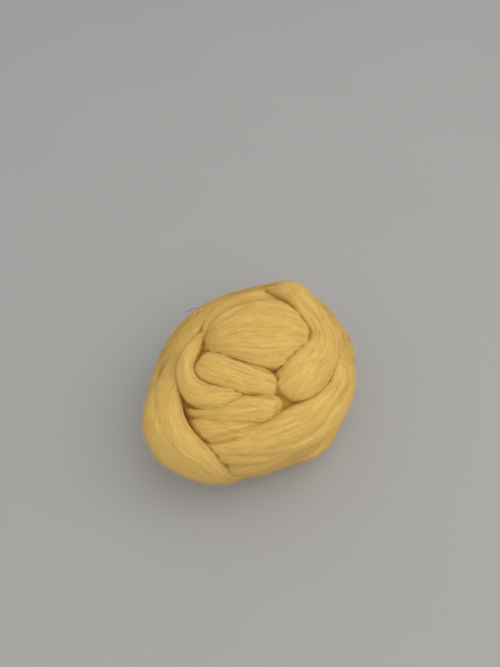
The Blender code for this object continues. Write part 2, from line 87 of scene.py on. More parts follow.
@dataclass(frozen=True)
class Oval:
    """The oval body that the turns are wrapped on, and the direction its top is looked at from."""

    length: float = 118.0
    width: float = 94.0
    height: float = 74.0
    bearing: float = 41.0
    relief: float = 5.5
    flat_spot: float = 9.5
    view_elevation: float = 62.0
    view_distance: float = 275.0
    off_centre: tuple[float, float] = (-0.415, -0.369)

    @property
    def half_axes(self) -> Array:
        """The body's half-axes along its own length, width and height."""
        return np.array((self.length, self.width, self.height)) / 2

    @property
    def outer_axes(self) -> Array:
        """The half-axes of the wound ball's middling surface."""
        return self.half_axes + self.relief

    @property
    def lay(self) -> Array:
        """The matrix that turns the body's length onto its bearing."""
        cos, sin = math.cos(math.radians(self.bearing)), math.sin(math.radians(self.bearing))
        return np.array(((cos, -sin, 0), (sin, cos, 0), (0, 0, 1)))

    @property
    def centre(self) -> Array:
        """The middle of the body over the floor."""
        return np.array((*self.off_centre, self.outer_axes[2] - self.flat_spot))

    @property
    def towards_eye(self) -> Array:
        """The direction from the middle of the body to the eye."""
        elevation = math.radians(self.view_elevation)
        return np.array((0, -math.cos(elevation), math.sin(elevation)))

    @property
    def view_up(self) -> Array:
        """The direction that looks upwards from the eye."""
        elevation = math.radians(self.view_elevation)
        return np.array((0, math.sin(elevation), math.cos(elevation)))

    @property
    def eye(self) -> Array:
        """The eye's place, measured from the middle of the body."""
        return self.towards_eye * self.view_distance

    def on_body(self, directions: Array, heights: Array | float) -> Array:
        """Points over the body.

        Args:
            directions: directions of the unit ball, the last axis of three.
            heights: how high each point stands over the body.

        Returns:
            The points.
        """
        round_ball = unit(directions)
        outwards = unit(round_ball / self.half_axes)
        raised = round_ball * self.half_axes + outwards * np.asarray(heights, float)[..., None]
        return raised @ self.lay.T + self.centre

    def as_seen(self, points: Array) -> Array:
        """Where points show from the eye.

        Args:
            points: the points.

        Returns:
            How far across and up each one shows, on the plane through the body's middle.
        """
        rays = points - self.centre - self.eye
        share = -self.view_distance / (rays @ self.towards_eye)
        hits = self.eye + rays * share[..., None]
        return np.stack((hits[..., 0], hits @ self.view_up), axis=-1)


@dataclass(frozen=True)
class Seen:
    """A place on a turn, across and up from the ball's middle as it shows from the eye."""

    across: float
    up: float
    half_width: float
    lift: float

    def direction(self, oval: Oval) -> Array:
        """The place's direction.

        Args:
            oval: the body.

        Returns:
            The direction on the unit ball that the body is scaled from.
        """
        target = np.array((1, 0, 0)) * self.across + oval.view_up * self.up
        start = (oval.lay.T @ oval.eye) / oval.outer_axes
        ray = unit((oval.lay.T @ (target - oval.eye)) / oval.outer_axes)
        nearest = start - ray * (start @ ray)
        missed_by = np.linalg.norm(nearest)
        if missed_by < 1:
            nearest = nearest - ray * math.sqrt(1 - missed_by**2)
        return unit(nearest)


@dataclass(frozen=True)
class Round:
    """A place on a turn by its bearing (0 right, 90 back, 180 left, 270 front) and its height."""

    bearing: float
    height: float
    half_width: float
    lift: float

    def direction(self, oval: Oval) -> Array:
        """The place's direction.

        Args:
            oval: the body.

        Returns:
            The direction on the unit ball that the body is scaled from.
        """
        bearing = math.radians(self.bearing - oval.bearing)
        rise = (self.height - oval.centre[2]) / oval.outer_axes[2]
        rise = max(-HIGHEST_SHARE, min(HIGHEST_SHARE, rise))
        level = math.sqrt(1 - rise**2)
        flat = unit(np.array((math.cos(bearing), math.sin(bearing))) / oval.outer_axes[:2])
        return np.array((flat[0] * level, flat[1] * level, rise))


@dataclass(frozen=True)
class Ripple:
    """Smooth seeded unevenness that runs along the fibres, stretched much longer than it is wide."""

    long: float
    wide: float
    height: float
    knot_height: float = 1.5

    def over(self, along: Array, girth: Array, seed: int) -> Array:
        """The unevenness at every crossing of two rulers.

        Args:
            along: lengths along the turn.
            girth: lengths across it.
            seed: its seed.

        Returns:
            One row of heights for each length along.
        """
        rows = (along - along.min()) / self.long
        columns = (girth - girth.min()) / self.wide
        rng = np.random.default_rng(seed)
        knots = rng.standard_normal((int(rows.max()) + 5, int(columns.max()) + 5)) * self.knot_height
        down, over = self.weights(rows, knots.shape[0]), self.weights(columns, knots.shape[1])
        return down @ knots @ over.T * self.height

    @staticmethod
    def weights(places: Array, count: int) -> Array:
        """The share that each knot of a smooth spline has at each place.

        Args:
            places: places along the knots, from 0.
            count: how many knots there are.

        Returns:
            One row of shares for each place.
        """
        away = np.abs(places[:, None] + 1 - np.arange(count)[None, :])
        near = 2 / 3 - away**2 + away**3 / 2
        far = np.clip(2 - away, 0, None) ** 3 / 6
        return np.where(away < 1, near, far)


@dataclass(frozen=True)
class Grooves:
    """Soft grooves between the locks of a strand, which wander, fade and come back along it."""

    pitch: float = 6.5
    depth: float = 0.08
    width: float = 1.0
    wander: float = 1.6
    wander_lengths: tuple[float, float] = (60, 180)
    strength: float = 0.62
    strength_change: float = 0.75
    strength_lengths: tuple[float, float] = (45, 130)
    offsets: tuple[float, float] = (0.2, 0.8)
    waves_summed: int = 3
    wave_shrink: float = 2.4

    def over(self, along: Array, girth: Array, seed: int) -> Array:
        """The depth of the grooves at every crossing of two rulers.

        Args:
            along: lengths along the turn.
            girth: lengths across it.
            seed: their seed.

        Returns:
            One row for each length along, 0 on a lock and negative in a groove.
        """
        rng = np.random.default_rng(seed)
        count = max(1, round(np.ptp(girth) / self.pitch))
        lines = girth.min() + (np.arange(count) + rng.uniform(*self.offsets, count)) * np.ptp(girth) / count
        drift = self.waves(along, count, rng, self.wander_lengths) * self.wander
        change = self.waves(along, count, rng, self.strength_lengths)
        strength = np.clip(self.strength + self.strength_change * change, 0, 1)
        away = (girth[None, :, None] - (lines + drift)[:, None, :]) / self.width
        return -self.depth * (strength[:, None, :] * np.exp(-(away**2))).max(axis=2)

    def waves(
        self, along: Array, count: int, rng: np.random.Generator, lengths: tuple[float, float]
    ) -> Array:
        """Slow waves along a turn, one for each groove.

        Args:
            along: lengths along the turn.
            count: how many waves.
            rng: the seeded source of their lengths and starts.
            lengths: the shortest and the longest wave.

        Returns:
            One row for each length along, of about -1 to 1.
        """
        total = np.zeros((len(along), count))
        for _ in range(self.waves_summed):
            turns = along[:, None] / rng.uniform(*lengths, count) + rng.uniform(0, 1, count)
            total += np.sin(2 * math.pi * turns) / self.wave_shrink
        return total


@dataclass(frozen=True)
class Crease:
    """A groove drawn across and up as it shows from the eye, on the turns it is pressed into."""

    turns: tuple[str, ...]
    places: tuple[tuple[float, float], ...]
    depth: float
    width: float
    fading: float = 5.0

    def pressed(self, seen: Array) -> Array:
        """How deep the crease is at each point.

        Args:
            seen: where the points show, across and up.

        Returns:
            The depths.
        """
        nearest = np.full(seen.shape[:-1], np.inf)
        inside = np.zeros(seen.shape[:-1])
        count = len(self.places) - 1
        for index, (start, end) in enumerate(zip(self.places, self.places[1:])):
            run = np.subtract(end, start)
            share = np.clip(((seen - start) @ run) / (run @ run), 0, 1)
            away = np.linalg.norm(seen - start - share[..., None] * run, axis=-1)
            closer = away < nearest
            nearest = np.where(closer, away, nearest)
            inside = np.where(closer, (index + share) / count, inside)
        fade = np.clip(np.minimum(inside, 1 - inside) * self.fading, 0, 1)
        return self.depth * fade * np.exp(-((nearest / self.width) ** 2))


def grid_faces(rings: int, sides: int) -> Array:
    """The four-cornered faces of a tube of points, with so many rings and so many points a ring."""
    grid, turned = (np.roll(np.arange(rings * sides).reshape(rings, sides), -by, axis=1) for by in (0, 1))
    return np.stack((grid[:-1], turned[:-1], turned[1:], grid[1:]), axis=-1).reshape(-1, 4)


@dataclass(frozen=True)
class Surface:
    """The skin of one turn as a grid of points: a ring round the turn for each step along it."""

    name: str
    points: Array
    normals: Array
    along: Array
    girth: Array
    upper: tuple[int, int]
    number: int
    shelter: Array

    @property
    def rings(self) -> int:
        """How many rings the turn has."""
        return self.points.shape[0]

    @property
    def sides(self) -> int:
        """How many points each ring has."""
        return self.points.shape[1]

    @property
    def run(self) -> Array:
        """Each point's length along and across the turn, and the turn's number."""
        across, along = np.meshgrid(self.girth, self.along)
        return np.stack((along, across, np.full(across.shape, float(self.number))), axis=-1).reshape(-1, 3)

    def at(self, along: Array, girth: Array) -> tuple[Array, Array, Array]:
        """Points and outward directions of the skin.

        Args:
            along: lengths along the turn.
            girth: lengths across it.

        Returns:
            The points, the directions, and how sheltered the points are.
        """
        row = np.interp(along, self.along, np.arange(self.rings))
        side = np.interp(girth, self.girth, np.arange(self.sides))
        low_row = np.clip(row.astype(int), 0, self.rings - 2)
        low_side = np.clip(side.astype(int), 0, self.sides - 2)
        down = (row - low_row)[..., None]
        over = (side - low_side)[..., None]

        def mixed(grid: Array) -> Array:
            """The grid's values between its own points.

            Args:
                grid: a value for each point.

            Returns:
                A value for each place asked for.
            """
            near = grid[low_row, low_side] * (1 - over) + grid[low_row, low_side + 1] * over
            far = grid[low_row + 1, low_side] * (1 - over) + grid[low_row + 1, low_side + 1] * over
            return near * (1 - down) + far * down

        return mixed(self.points), unit(mixed(self.normals)), mixed(self.shelter[..., None])[..., 0]

    def faces(self) -> tuple[Array, Array]:
        """The faces of the turn, facing outwards.

        Returns:
            The four-cornered ones along it, and the three-cornered ones that close its two ends.
        """
        quads = grid_faces(self.rings, self.sides)
        second = np.arange(1, self.sides - 1)
        fans = np.stack((0 * second, second, second + 1), axis=-1)
        ends = np.concatenate((fans[:, ::-1], fans + (self.rings - 1) * self.sides))
        middle = self.rings // 2 * self.sides + sum(self.upper) // 2
        corner = self.points.reshape(-1, 3)[quads[middle]]
        facing = np.cross(corner[1] - corner[0], corner[3] - corner[0])
        outwards = facing @ self.normals.reshape(-1, 3)[middle] > 0
        return (quads, ends) if outwards else (quads[:, ::-1], ends[:, ::-1])

    def mapped(self, faces: Array, floor: float, height: float, longest: float) -> Array:
        """The places of the faces' corners on the bake map, where the turn is one strip.

        Args:
            faces: the faces, all with the same number of corners.
            floor: the strip's lower edge on the map.
            height: the strip's height.
            longest: the length of the longest turn on the map.

        Returns:
            One place for each corner.
        """
        ring, side = np.divmod(faces, self.sides)
        if faces.shape[1] == 3:
            angle = 2 * math.pi * side / self.sides
            x = DISC_MIDDLE + DISC_RADIUS * np.cos(angle)
            y = DISC_UP + DISC_STEP * (ring == 0) + DISC_HALF_HEIGHT * np.sin(angle)
        else:
            wraps = (side.max(axis=1) == self.sides - 1) & (side.min(axis=1) == 0)
            whole = self.girth[-1] - self.girth[0] + (self.girth[1] - self.girth[0])
            over = (self.girth[side] - self.girth[0]) / whole
            x = STRIP_START + STRIP_LENGTH * self.along[ring] / longest
            y = np.where(wraps[:, None] & (side == 0), 1.0, over)
        up = floor + height * (STRIP_MARGIN + (1 - 2 * STRIP_MARGIN) * y)
        return np.stack((x, up), axis=-1).reshape(-1, 2)


@dataclass(frozen=True)
class Turn:
    """One turn of the strand: a flattened, tapering band that follows the body."""

    name: str
    half_thickness: float
    squareness: float
    places: tuple[Seen | Round, ...]
    locks: Grooves = Grooves()
    swell: Ripple = Ripple(60, 8.0, 0.17)
    strands: Ripple = Ripple(40, 1.5, 0.02)
    run_out: float = 14.0
    thinnest: float = 0.3
    turning: float = 9.0
    easing: float = 0.7
    lowest: float = 0.05
    lowest_step: float = 0.03
    step_along: float = 1.2
    step_across: float = 0.45
    step_under: float = 2.0

    def stations(self, oval: Oval) -> tuple[Array, Array, Array, Array]:
        """Even steps along the turn.

        Args:
            oval: the body it follows.

        Returns:
            The directions, half widths, lifts and lengths along, one for each step.
        """
        rows = np.array([(*place.direction(oval), place.half_width, place.lift) for place in self.places])
        last = len(rows) - 1
        found = []
        for index in range(last):
            before, start, end, after = (rows[min(max(i, 0), last)] for i in range(index - 1, index + 3))
            gap = np.linalg.norm(oval.on_body(end[:3], 0.0) - oval.on_body(start[:3], 0.0))
            steps = max(2, round(gap / self.step_along))
            share = (np.arange(steps + (index == last - 1)) / steps)[:, None]
            rest = 1 - share
            found.append(
                start * (1 + 2 * share) * rest**2
                + (end - before) * 0.5 * share * rest**2
                + end * share**2 * (3 - 2 * share)
                - (after - start) * 0.5 * share**2 * rest
            )
        rows = np.concatenate(found)
        middles = oval.on_body(rows[:, :3], 0.0)
        along = np.concatenate(([0.0], np.cumsum(np.linalg.norm(np.diff(middles, axis=0), axis=1))))
        return unit(rows[:, :3]), rows[:, 3], rows[:, 4], along

    def steadied(self, sideways: Array, along: Array) -> Array:
        """The ways across the turn, evened out so that no ring crosses the next on the inside of a bend."""
        away = (along[:, None] - along[None, :]) / self.turning
        return unit(np.exp(-(away**2)) @ sideways)

    def section(self, widest: float) -> tuple[Array, Array, Array, tuple[int, int]]:
        """The ring of points round the turn, evenly spaced, from the middle of its underside.

        Args:
            widest: the turn's greatest half width.

        Returns:
            How far across each point is (-1 to 1), how high (-1 to 1), its length along the girth, and
            where the points of the upper side start and end.
        """
        angle = np.linspace(-math.pi / 2, 3 * math.pi / 2, SECTION_SAMPLES)
        cos, sin = np.cos(angle), np.sin(angle)
        power = 2 / self.squareness
        across, depth = np.sign(cos) * np.abs(cos) ** power, np.sign(sin) * np.abs(sin) ** power
        steps = np.hypot(np.diff(across) * widest, np.diff(depth) * self.half_thickness)
        arc = np.concatenate(([0.0], np.cumsum(steps)))
        right, left = np.interp((0, math.pi), angle, arc)
        under = max(4, round(right / self.step_under))
        over = max(12, round((left - right) / self.step_across))
        spans = ((0, right, under), (right, left, over), (left, arc[-1], under))
        places = np.concatenate([np.linspace(*span, endpoint=False) for span in spans])
        upper = (under, under + over)
        return np.interp(places, arc, across), np.interp(places, arc, depth), places - arc[-1] / 2, upper

    def relief(self, along: Array, girth: Array, number: int) -> Array:
        """How far the locks and strands stand out from the plain section, a row for each ring."""
        parts = ((self.locks, 1), (self.swell, 3), (self.strands, 4))
        return sum(part.over(along, girth, 100 * number + seed) for part, seed in parts)

    def surface(self, oval: Oval, number: int, creases: tuple[Crease, ...]) -> Surface:
        """The skin of the turn.

        Args:
            oval: the body it follows.
            number: the turn's own number.
            creases: the grooves that are drawn where they show.

        Returns:
            The grid of points, which a mesh is made from and fibres are laid on.
        """
        directions, widths, lifts, along = self.stations(oval)
        across, depth, girth, upper = self.section(widths.max())
        middles = oval.on_body(directions, 0.0)
        forwards = unit(np.gradient(middles, axis=0))
        outwards = unit(oval.on_body(directions, 1.0) - middles)
        sideways = self.steadied(unit(np.cross(forwards, outwards)), along) @ oval.lay
        feet = (directions * oval.half_axes)[:, None, :] + (
            sideways[:, None, :] * (across[None, :, None] * widths[:, None, None])
        )
        eased = np.clip(np.minimum(along, along[-1] - along) / self.run_out, 0, 1)
        thickness = self.half_thickness * (self.thinnest + (1 - self.thinnest) * eased * (2 - eased))
        lumps = self.relief(along, girth, number) * (widths / widths.max())[:, None] ** self.easing
        on_top = np.clip(depth, 0, 1)[None, :] ** self.easing
        heights = lifts[:, None] + thickness[:, None] * depth[None, :] + lumps * on_top
        at = feet / oval.half_axes
        points = oval.on_body(at, heights)
        for crease in creases:
            if self.name in crease.turns:
                facing = (unit(oval.on_body(at, heights + 1) - points) @ oval.towards_eye) > 0
                heights = heights - crease.pressed(oval.as_seen(points)) * facing * on_top
                points = oval.on_body(at, heights)
        points[..., 2] = np.maximum(points[..., 2], self.lowest + self.lowest_step * number)
        down = np.gradient(points, axis=0)
        over = np.roll(points, -1, axis=1) - np.roll(points, 1, axis=1)
        normals = unit(np.cross(over, down))
        away = oval.on_body(at, heights + 1) - oval.on_body(at, heights)
        top = slice(*upper)
        if (normals[:, top] * away[:, top]).sum() < 0:
            normals = -normals
        return Surface(self.name, points, normals, along, girth, upper, number, np.zeros(points.shape[:2]))


class Cover:
    """Tells the places of the wool that are open to the air from those in creases or under other turns."""

    tight: float = 1.2
    reach: float = 14.0
    rays: int = 24
    ring_step: int = 3
    side_step: int = 2

    def __init__(self, surfaces: list[Surface]) -> None:
        """Reads the turns' skins.

        Args:
            surfaces: the skins.
        """
        points, faces, first = [], [], 0
        for surface in surfaces:
            faces.append(surface.faces()[0] + first)
            points.append(surface.points.reshape(-1, 3))
            first += len(points[-1])
        self.tree = BVHTree.FromPolygons(np.concatenate(points).tolist(), np.concatenate(faces).tolist())
        turn = np.arange(self.rays) * math.pi * (3 - math.sqrt(5))
        level = np.sqrt((np.arange(self.rays) + 0.5) / self.rays)
        self.ways = np.stack((np.cos(turn) * level, np.sin(turn) * level, np.sqrt(1 - level**2)), axis=-1)

    def distance(self, place: Vector, way: Vector, reach: float) -> float:
        """How far other wool is from a place, negative for wool that the place is inside of.

        Args:
            place: the place.
            way: the direction looked in.
            reach: how far to look.

        Returns:
            The distance, or the reach where there is none.
        """
        _, normal, _, distance = self.tree.ray_cast(place, way, reach)
        if normal is None:
            return reach
        return -distance if normal.dot(way) > 0 else distance

    def is_open(self, places: Array, outwards: Array, start: float = 0.45, reach: float = 60.0) -> Array:
        """Whether each place is open to the air, looking outwards from a start over it to the reach."""
        looks = [(Vector(place), Vector(way)) for place, way in zip(places + outwards * start, outwards)]
        return np.array([self.distance(place, way, reach) > self.tight for place, way in looks], bool)

    def shelter(self, surface: Surface, start: float = 0.3) -> Surface:
        """Measures how sheltered a turn's skin is, which the finishes paint crease shade from.

        Args:
            surface: the skin.
            start: how far out the looks begin.

        Returns:
            The skin with its shelter, 0 in the open and 1 where no way leads out.
        """
        rings = np.unique(np.append(np.arange(0, surface.rings, self.ring_step), surface.rings - 1))
        sides = np.unique(np.append(np.arange(*surface.upper, self.side_step), surface.upper[1] - 1))
        measured = np.ix_(rings, sides)
        places, normals = (grid[measured].reshape(-1, 3) for grid in (surface.points, surface.normals))
        values = np.ones(len(places))
        helper = np.where(np.abs(normals[:, 2:]) < 0.9, (0.0, 0.0, 1.0), (1.0, 0.0, 0.0))
        right = unit(np.cross(helper, normals))
        ahead = np.cross(normals, right)
        for index in np.flatnonzero(self.is_open(places, normals, start)):
            turned = np.stack((right[index], ahead[index], normals[index]))
            origin = Vector(places[index] + normals[index] * start)
            far = [max(0.0, self.distance(origin, Vector(way), self.reach)) for way in self.ways @ turned]
            values[index] = 1 - sum(far) / (self.reach * len(far))
        grid = values.reshape(len(rings), len(sides))
        across = np.stack([np.interp(np.arange(surface.sides), sides, row) for row in grid])
        every = np.arange(surface.rings)
        whole = np.stack([np.interp(every, rings, column) for column in across.T], axis=1)
        return replace(surface, shelter=whole)


class WoolTone(Enum):
    """The tones that the strand's wool is mixed from, in linear colour."""

    STRAW = (0.740, 0.500, 0.135)
    HONEY = (0.680, 0.400, 0.066)
    OAT = (0.640, 0.450, 0.150)
    PALE = (0.820, 0.620, 0.245)
    BLOND = (0.900, 0.620, 0.185)
    # Painted crease shade, and also the darker fine streaks along the fibres.
    AMBER = (0.400, 0.175, 0.014)
    RUST = (0.105, 0.022, 0.018)

    @property
    def colour(self) -> tuple[float, float, float, float]:
        """The tone with its alpha."""
        return (*self.value, 1.0)


@dataclass(frozen=True)
class Streak:
    """A streak along the fibres: its size, its finer layers and how far apart two turns' noise is drawn."""

    length: float
    width: float
    detail: float = 2.0
    roughness: float = 0.6
    turn_apart: float = 3.7


@dataclass(frozen=True)
class Layer:
    """A tone that is laid over others where a pattern goes from its low to its high value."""

    pattern: str
    low: float
    high: float
    tone: WoolTone
    most: float = 1.0


# Painted shade: where the measured shelter is high, in creases and under other turns, the amber tone darkens
# and warms the wool.
PAINTED_CREASE_SHADE = Layer("shelter", 0.14, 0.72, WoolTone.AMBER, 0.9)


class Nodes:
    """A short way to place and join the nodes of a tree."""

    def __init__(self, tree: bpy.types.NodeTree) -> None:
        """Holds the tree."""
        self.tree = tree

    def feed(self, node: TreeNode, values: Inputs) -> None:
        """Sets or joins a node's inputs.

        Args:
            node: the node.
            values: by the name or number of an input, what it is set to or the socket that feeds it.
        """
        for key, value in values.items():
            if isinstance(value, Socket):
                self.tree.links.new(value, node.inputs[key])
            else:
                node.inputs[key].default_value = value

    def node(self, kind: str, values: Inputs | None = None, **settings: object) -> TreeNode:
        """A new node.

        Args:
            kind: the node's type.
            values: its inputs, as in feed.
            settings: the node's own settings.

        Returns:
            The node.
        """
        node = self.tree.nodes.new(kind)
        for name, value in settings.items():
            setattr(node, name, value)
        self.feed(node, values or {})
        return node

    def add(
        self, kind: str, values: Inputs | None = None, output: str | int = 0, **settings: object
    ) -> Socket:
        """One output, by its name or number, of a new node made as above."""
        return self.node(kind, values, **settings).outputs[output]

    def worked(self, operation: str, first: Socket | float, second: Socket | float) -> Socket:
        """A number worked out from two others."""
        return self.add("ShaderNodeMath", {0: first, 1: second}, operation=operation)

    def run(self) -> Socket:
        """Where each place lies on its fibres, in millimetres."""
        return self.add("ShaderNodeAttribute", output="Vector", attribute_name=FIBRE_RUN)

    def streaks(self, run: Socket, streak: Streak) -> Socket:
        """Noise that is stretched along the fibres."""
        scale = (1 / streak.length, 1 / streak.width, streak.turn_apart)
        place = self.add("ShaderNodeMapping", {"Vector": run, "Scale": scale})
        return self.noise(place, 1.0, streak.detail, Roughness=streak.roughness)

    def noise(self, place: Socket, scale: float, detail: float, **values: float) -> Socket:
        """Smooth noise from 0 to 1."""
        return self.add("ShaderNodeTexNoise", {"Vector": place, "Scale": scale, "Detail": detail, **values})

    def layered(self, base: WoolTone, patterns: dict[str, Socket], layers: tuple[Layer, ...]) -> Socket:
        """A colour of one tone with others laid over it, each in its pattern.

        Args:
            base: the tone at the bottom.
            patterns: the patterns by name.
            layers: the tones laid over it, in order.

        Returns:
            The colour.
        """
        # The shelter attribute, for layers that paint shade into the creases.
        shelter = self.add("ShaderNodeAttribute", output="Fac", attribute_name=SHELTER)
        patterns = {"shelter": shelter, **patterns}
        colour = base.colour
        for layer in layers:
            ends = {"Value": patterns[layer.pattern], "From Min": layer.low, "From Max": layer.high}
            spread = self.add("ShaderNodeMapRange", ends, interpolation_type="SMOOTHSTEP")
            share = self.worked("MULTIPLY", spread, layer.most)
            mixed = {0: share, 6: colour, 7: layer.tone.colour}
            colour = self.add("ShaderNodeMix", mixed, 2, data_type="RGBA")
        return colour


def new_material(name: str) -> tuple[bpy.types.Material, Nodes, TreeNode]:
    """A new material.

    Args:
        name: its name.

    Returns:
        The material, its nodes and its shader.
    """
    made = bpy.data.materials.new(name)
    made.use_nodes = True
    return made, Nodes(made.node_tree), made.node_tree.nodes["Principled BSDF"]


@dataclass(frozen=True)
class SoftLight:
    """How light goes into the wool: its share, and how far red, green and blue go in, in millimetres."""

    weight: float = 0.1
    depths: tuple[float, float, float] = (1.0, 0.7, 0.25)

    def inputs(self) -> Inputs:
        """The shader's inputs for it."""
        return {"Subsurface Weight": self.weight, "Subsurface Radius": self.depths, "Subsurface Scale": MM}


@dataclass(frozen=True)
class WoolFinish:
    """The look of a turn: fine streaks along its fibres, broader bands of tone, and painted shade that makes
    it darker and warmer in its creases.
    """

    name: str = "combed_wool"
    base: WoolTone = WoolTone.STRAW
    hair: Streak = Streak(24.0, 0.75)
    lock: Streak = Streak(60.0, 2.8)
    band: Streak = Streak(95.0, 6.0, 1.0)
    patch_scale: float = 38.0
    patch_detail: float = 2.0
    layers: tuple[Layer, ...] = (
        Layer("band", 0.38, 0.66, WoolTone.OAT, 0.4),
        Layer("patch", 0.42, 0.68, WoolTone.STRAW, 0.5),
        Layer("lock", 0.56, 0.34, WoolTone.HONEY, 0.12),
        PAINTED_CREASE_SHADE,
        Layer("hair", 0.58, 0.34, WoolTone.AMBER, 0.09),
        Layer("hair", 0.50, 0.72, WoolTone.PALE, 0.3),
    )
    roughness: tuple[float, float] = (0.77, 0.95)
    sheen: float = 0.4
    sheen_roughness: float = 0.5
    specular: float = 0.2
    bump_height: float = 0.05
    bump_strength: float = 0.8
    soft_light: SoftLight = SoftLight()

    def material(self) -> bpy.types.Material:
        """Builds the look from nodes that read the fibres' own run.

        Returns:
            The material.
        """
        made, nodes, shader = new_material(self.name)
        run = nodes.run()
        hair = nodes.streaks(run, self.hair)
        place = nodes.add("ShaderNodeTexCoord", output="Object")
        patterns = {
            "hair": hair,
            "lock": nodes.streaks(run, self.lock),
            "band": nodes.streaks(run, self.band),
            "patch": nodes.noise(place, self.patch_scale, self.patch_detail),
        }
        bump = {"Height": hair, "Strength": self.bump_strength, "Distance": self.bump_height * MM}
        rough = {"Value": hair, "To Min": self.roughness[0], "To Max": self.roughness[1]}
        values = {
            "Base Color": nodes.layered(self.base, patterns, self.layers),
            "Normal": nodes.add("ShaderNodeBump", bump),
            "Roughness": nodes.add("ShaderNodeMapRange", rough),
            "Sheen Weight": self.sheen,
            "Sheen Roughness": self.sheen_roughness,
            "Sheen Tint": WoolTone.PALE.colour,
            "Specular IOR Level": self.specular,
        }
        nodes.feed(shader, values | self.soft_light.inputs())
        return made


@dataclass(frozen=True)
class FibreFinish:
    """The look of single loose fibres, each a little lighter or darker than the next, with painted shade
    where they lie in creases.
    """

    name: str
    root: WoolTone
    tip: WoolTone
    noise_scale: float = 0.21
    roughness: float = 0.7
    specular: float = 0.15
    soft_light: SoftLight = SoftLight()

    def material(self) -> bpy.types.Material:
        """Builds the look from nodes that read each fibre's own run.

        Returns:
            The material.
        """
        made, nodes, shader = new_material(self.name)
        patterns = {"fibre": nodes.noise(nodes.run(), self.noise_scale, 1.0)}
        layers = (Layer("fibre", 0.35, 0.65, self.tip), PAINTED_CREASE_SHADE)
        values = {
            "Base Color": nodes.layered(self.root, patterns, layers),
            "Roughness": self.roughness,
            "Specular IOR Level": self.specular,
        }
        nodes.feed(shader, values | self.soft_light.inputs())
        return made


def new_mesh(name: str, points: Array, *faces: Array) -> bpy.types.Mesh:
    """A smooth mesh from plain arrays.

    Args:
        name: the mesh's name.
        points: its points, in metres.
        faces: its faces, those with the same number of corners in one array.

    Returns:
        The mesh.
    """
    mesh = bpy.data.meshes.new(name)
    mesh.vertices.add(len(points))
    mesh.vertices.foreach_set("co", points.ravel())
    corners = np.concatenate([kind.ravel() for kind in faces]).astype(np.int32)
    mesh.loops.add(len(corners))
    mesh.loops.foreach_set("vertex_index", corners)
    sizes = np.concatenate([np.full(len(kind), kind.shape[1]) for kind in faces])
    mesh.polygons.add(len(sizes))
    mesh.polygons.foreach_set("loop_start", (np.cumsum(sizes) - sizes).astype(np.int32))
    mesh.update(calc_edges=True)
    mesh.shade_smooth()
    return mesh


def store(mesh: bpy.types.Mesh, run: Array, places: Array) -> None:
    """Stores each point's run on the fibres, and each corner's place on the flat bake map."""
    mesh.attributes.new(FIBRE_RUN, "FLOAT_VECTOR", "POINT").data.foreach_set("vector", run.ravel())
    mesh.uv_layers.new(name=BAKE_MAP).uv.foreach_set("vector", places.ravel())


def store_values(mesh: bpy.types.Mesh, values: dict[str, Array]) -> None:
    """Stores one number on each point under each name."""
    for name, numbers in values.items():
        mesh.attributes.new(name, "FLOAT", "POINT").data.foreach_set("value", numbers.ravel())


def shown(name: str, data: bpy.types.ID) -> bpy.types.Object:
    """A new object in the scene.

    Args:
        name: its name.
        data: its mesh, its light or its camera.

    Returns:
        The object.
    """
    made = bpy.data.objects.new(name, data)
    bpy.context.scene.collection.objects.link(made)
    return made


def hand_over(piece: bpy.types.Object, stands_for_ball: bool) -> None:
    """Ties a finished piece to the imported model, and reports it.

    Args:
        piece: the piece.
        stands_for_ball: whether it takes the place of the plain solid.
    """
    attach(piece, "root")
    if stands_for_ball:
        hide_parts(NODE)
    LOG.info("%s: %d faces", piece.name, len(piece.data.polygons))


@dataclass
class WoundGroup:
    """Several turns of the strand that lie together, as one piece."""

    name: str
    surfaces: list[Surface]
    finish: bpy.types.Material

    def build(self) -> None:
        """Makes and dresses the piece."""
        heights = np.array([np.ptp(s.girth) for s in self.surfaces])
        heights = heights / heights.sum()
        floors = np.concatenate(([0.0], np.cumsum(heights)))
        longest = max(s.along[-1] for s in self.surfaces)
        faces, places, first = ([], []), ([], []), 0
        for surface, floor, height in zip(self.surfaces, floors, heights):
            for kind, found in enumerate(surface.faces()):
                faces[kind].append(found + first)
                places[kind].append(surface.mapped(found, floor, height, longest))
            first += surface.rings * surface.sides
        points = np.concatenate([s.points.reshape(-1, 3) for s in self.surfaces]) * MM
        mesh = new_mesh(self.name, points, *(np.concatenate(kind) for kind in faces))
        store(mesh, np.concatenate([s.run for s in self.surfaces]), np.concatenate(places[0] + places[1]))
        store_values(mesh, {SHELTER: np.concatenate([s.shelter.ravel() for s in self.surfaces])})
        mesh.materials.append(self.finish)
        hand_over(shown(self.name, mesh), True)


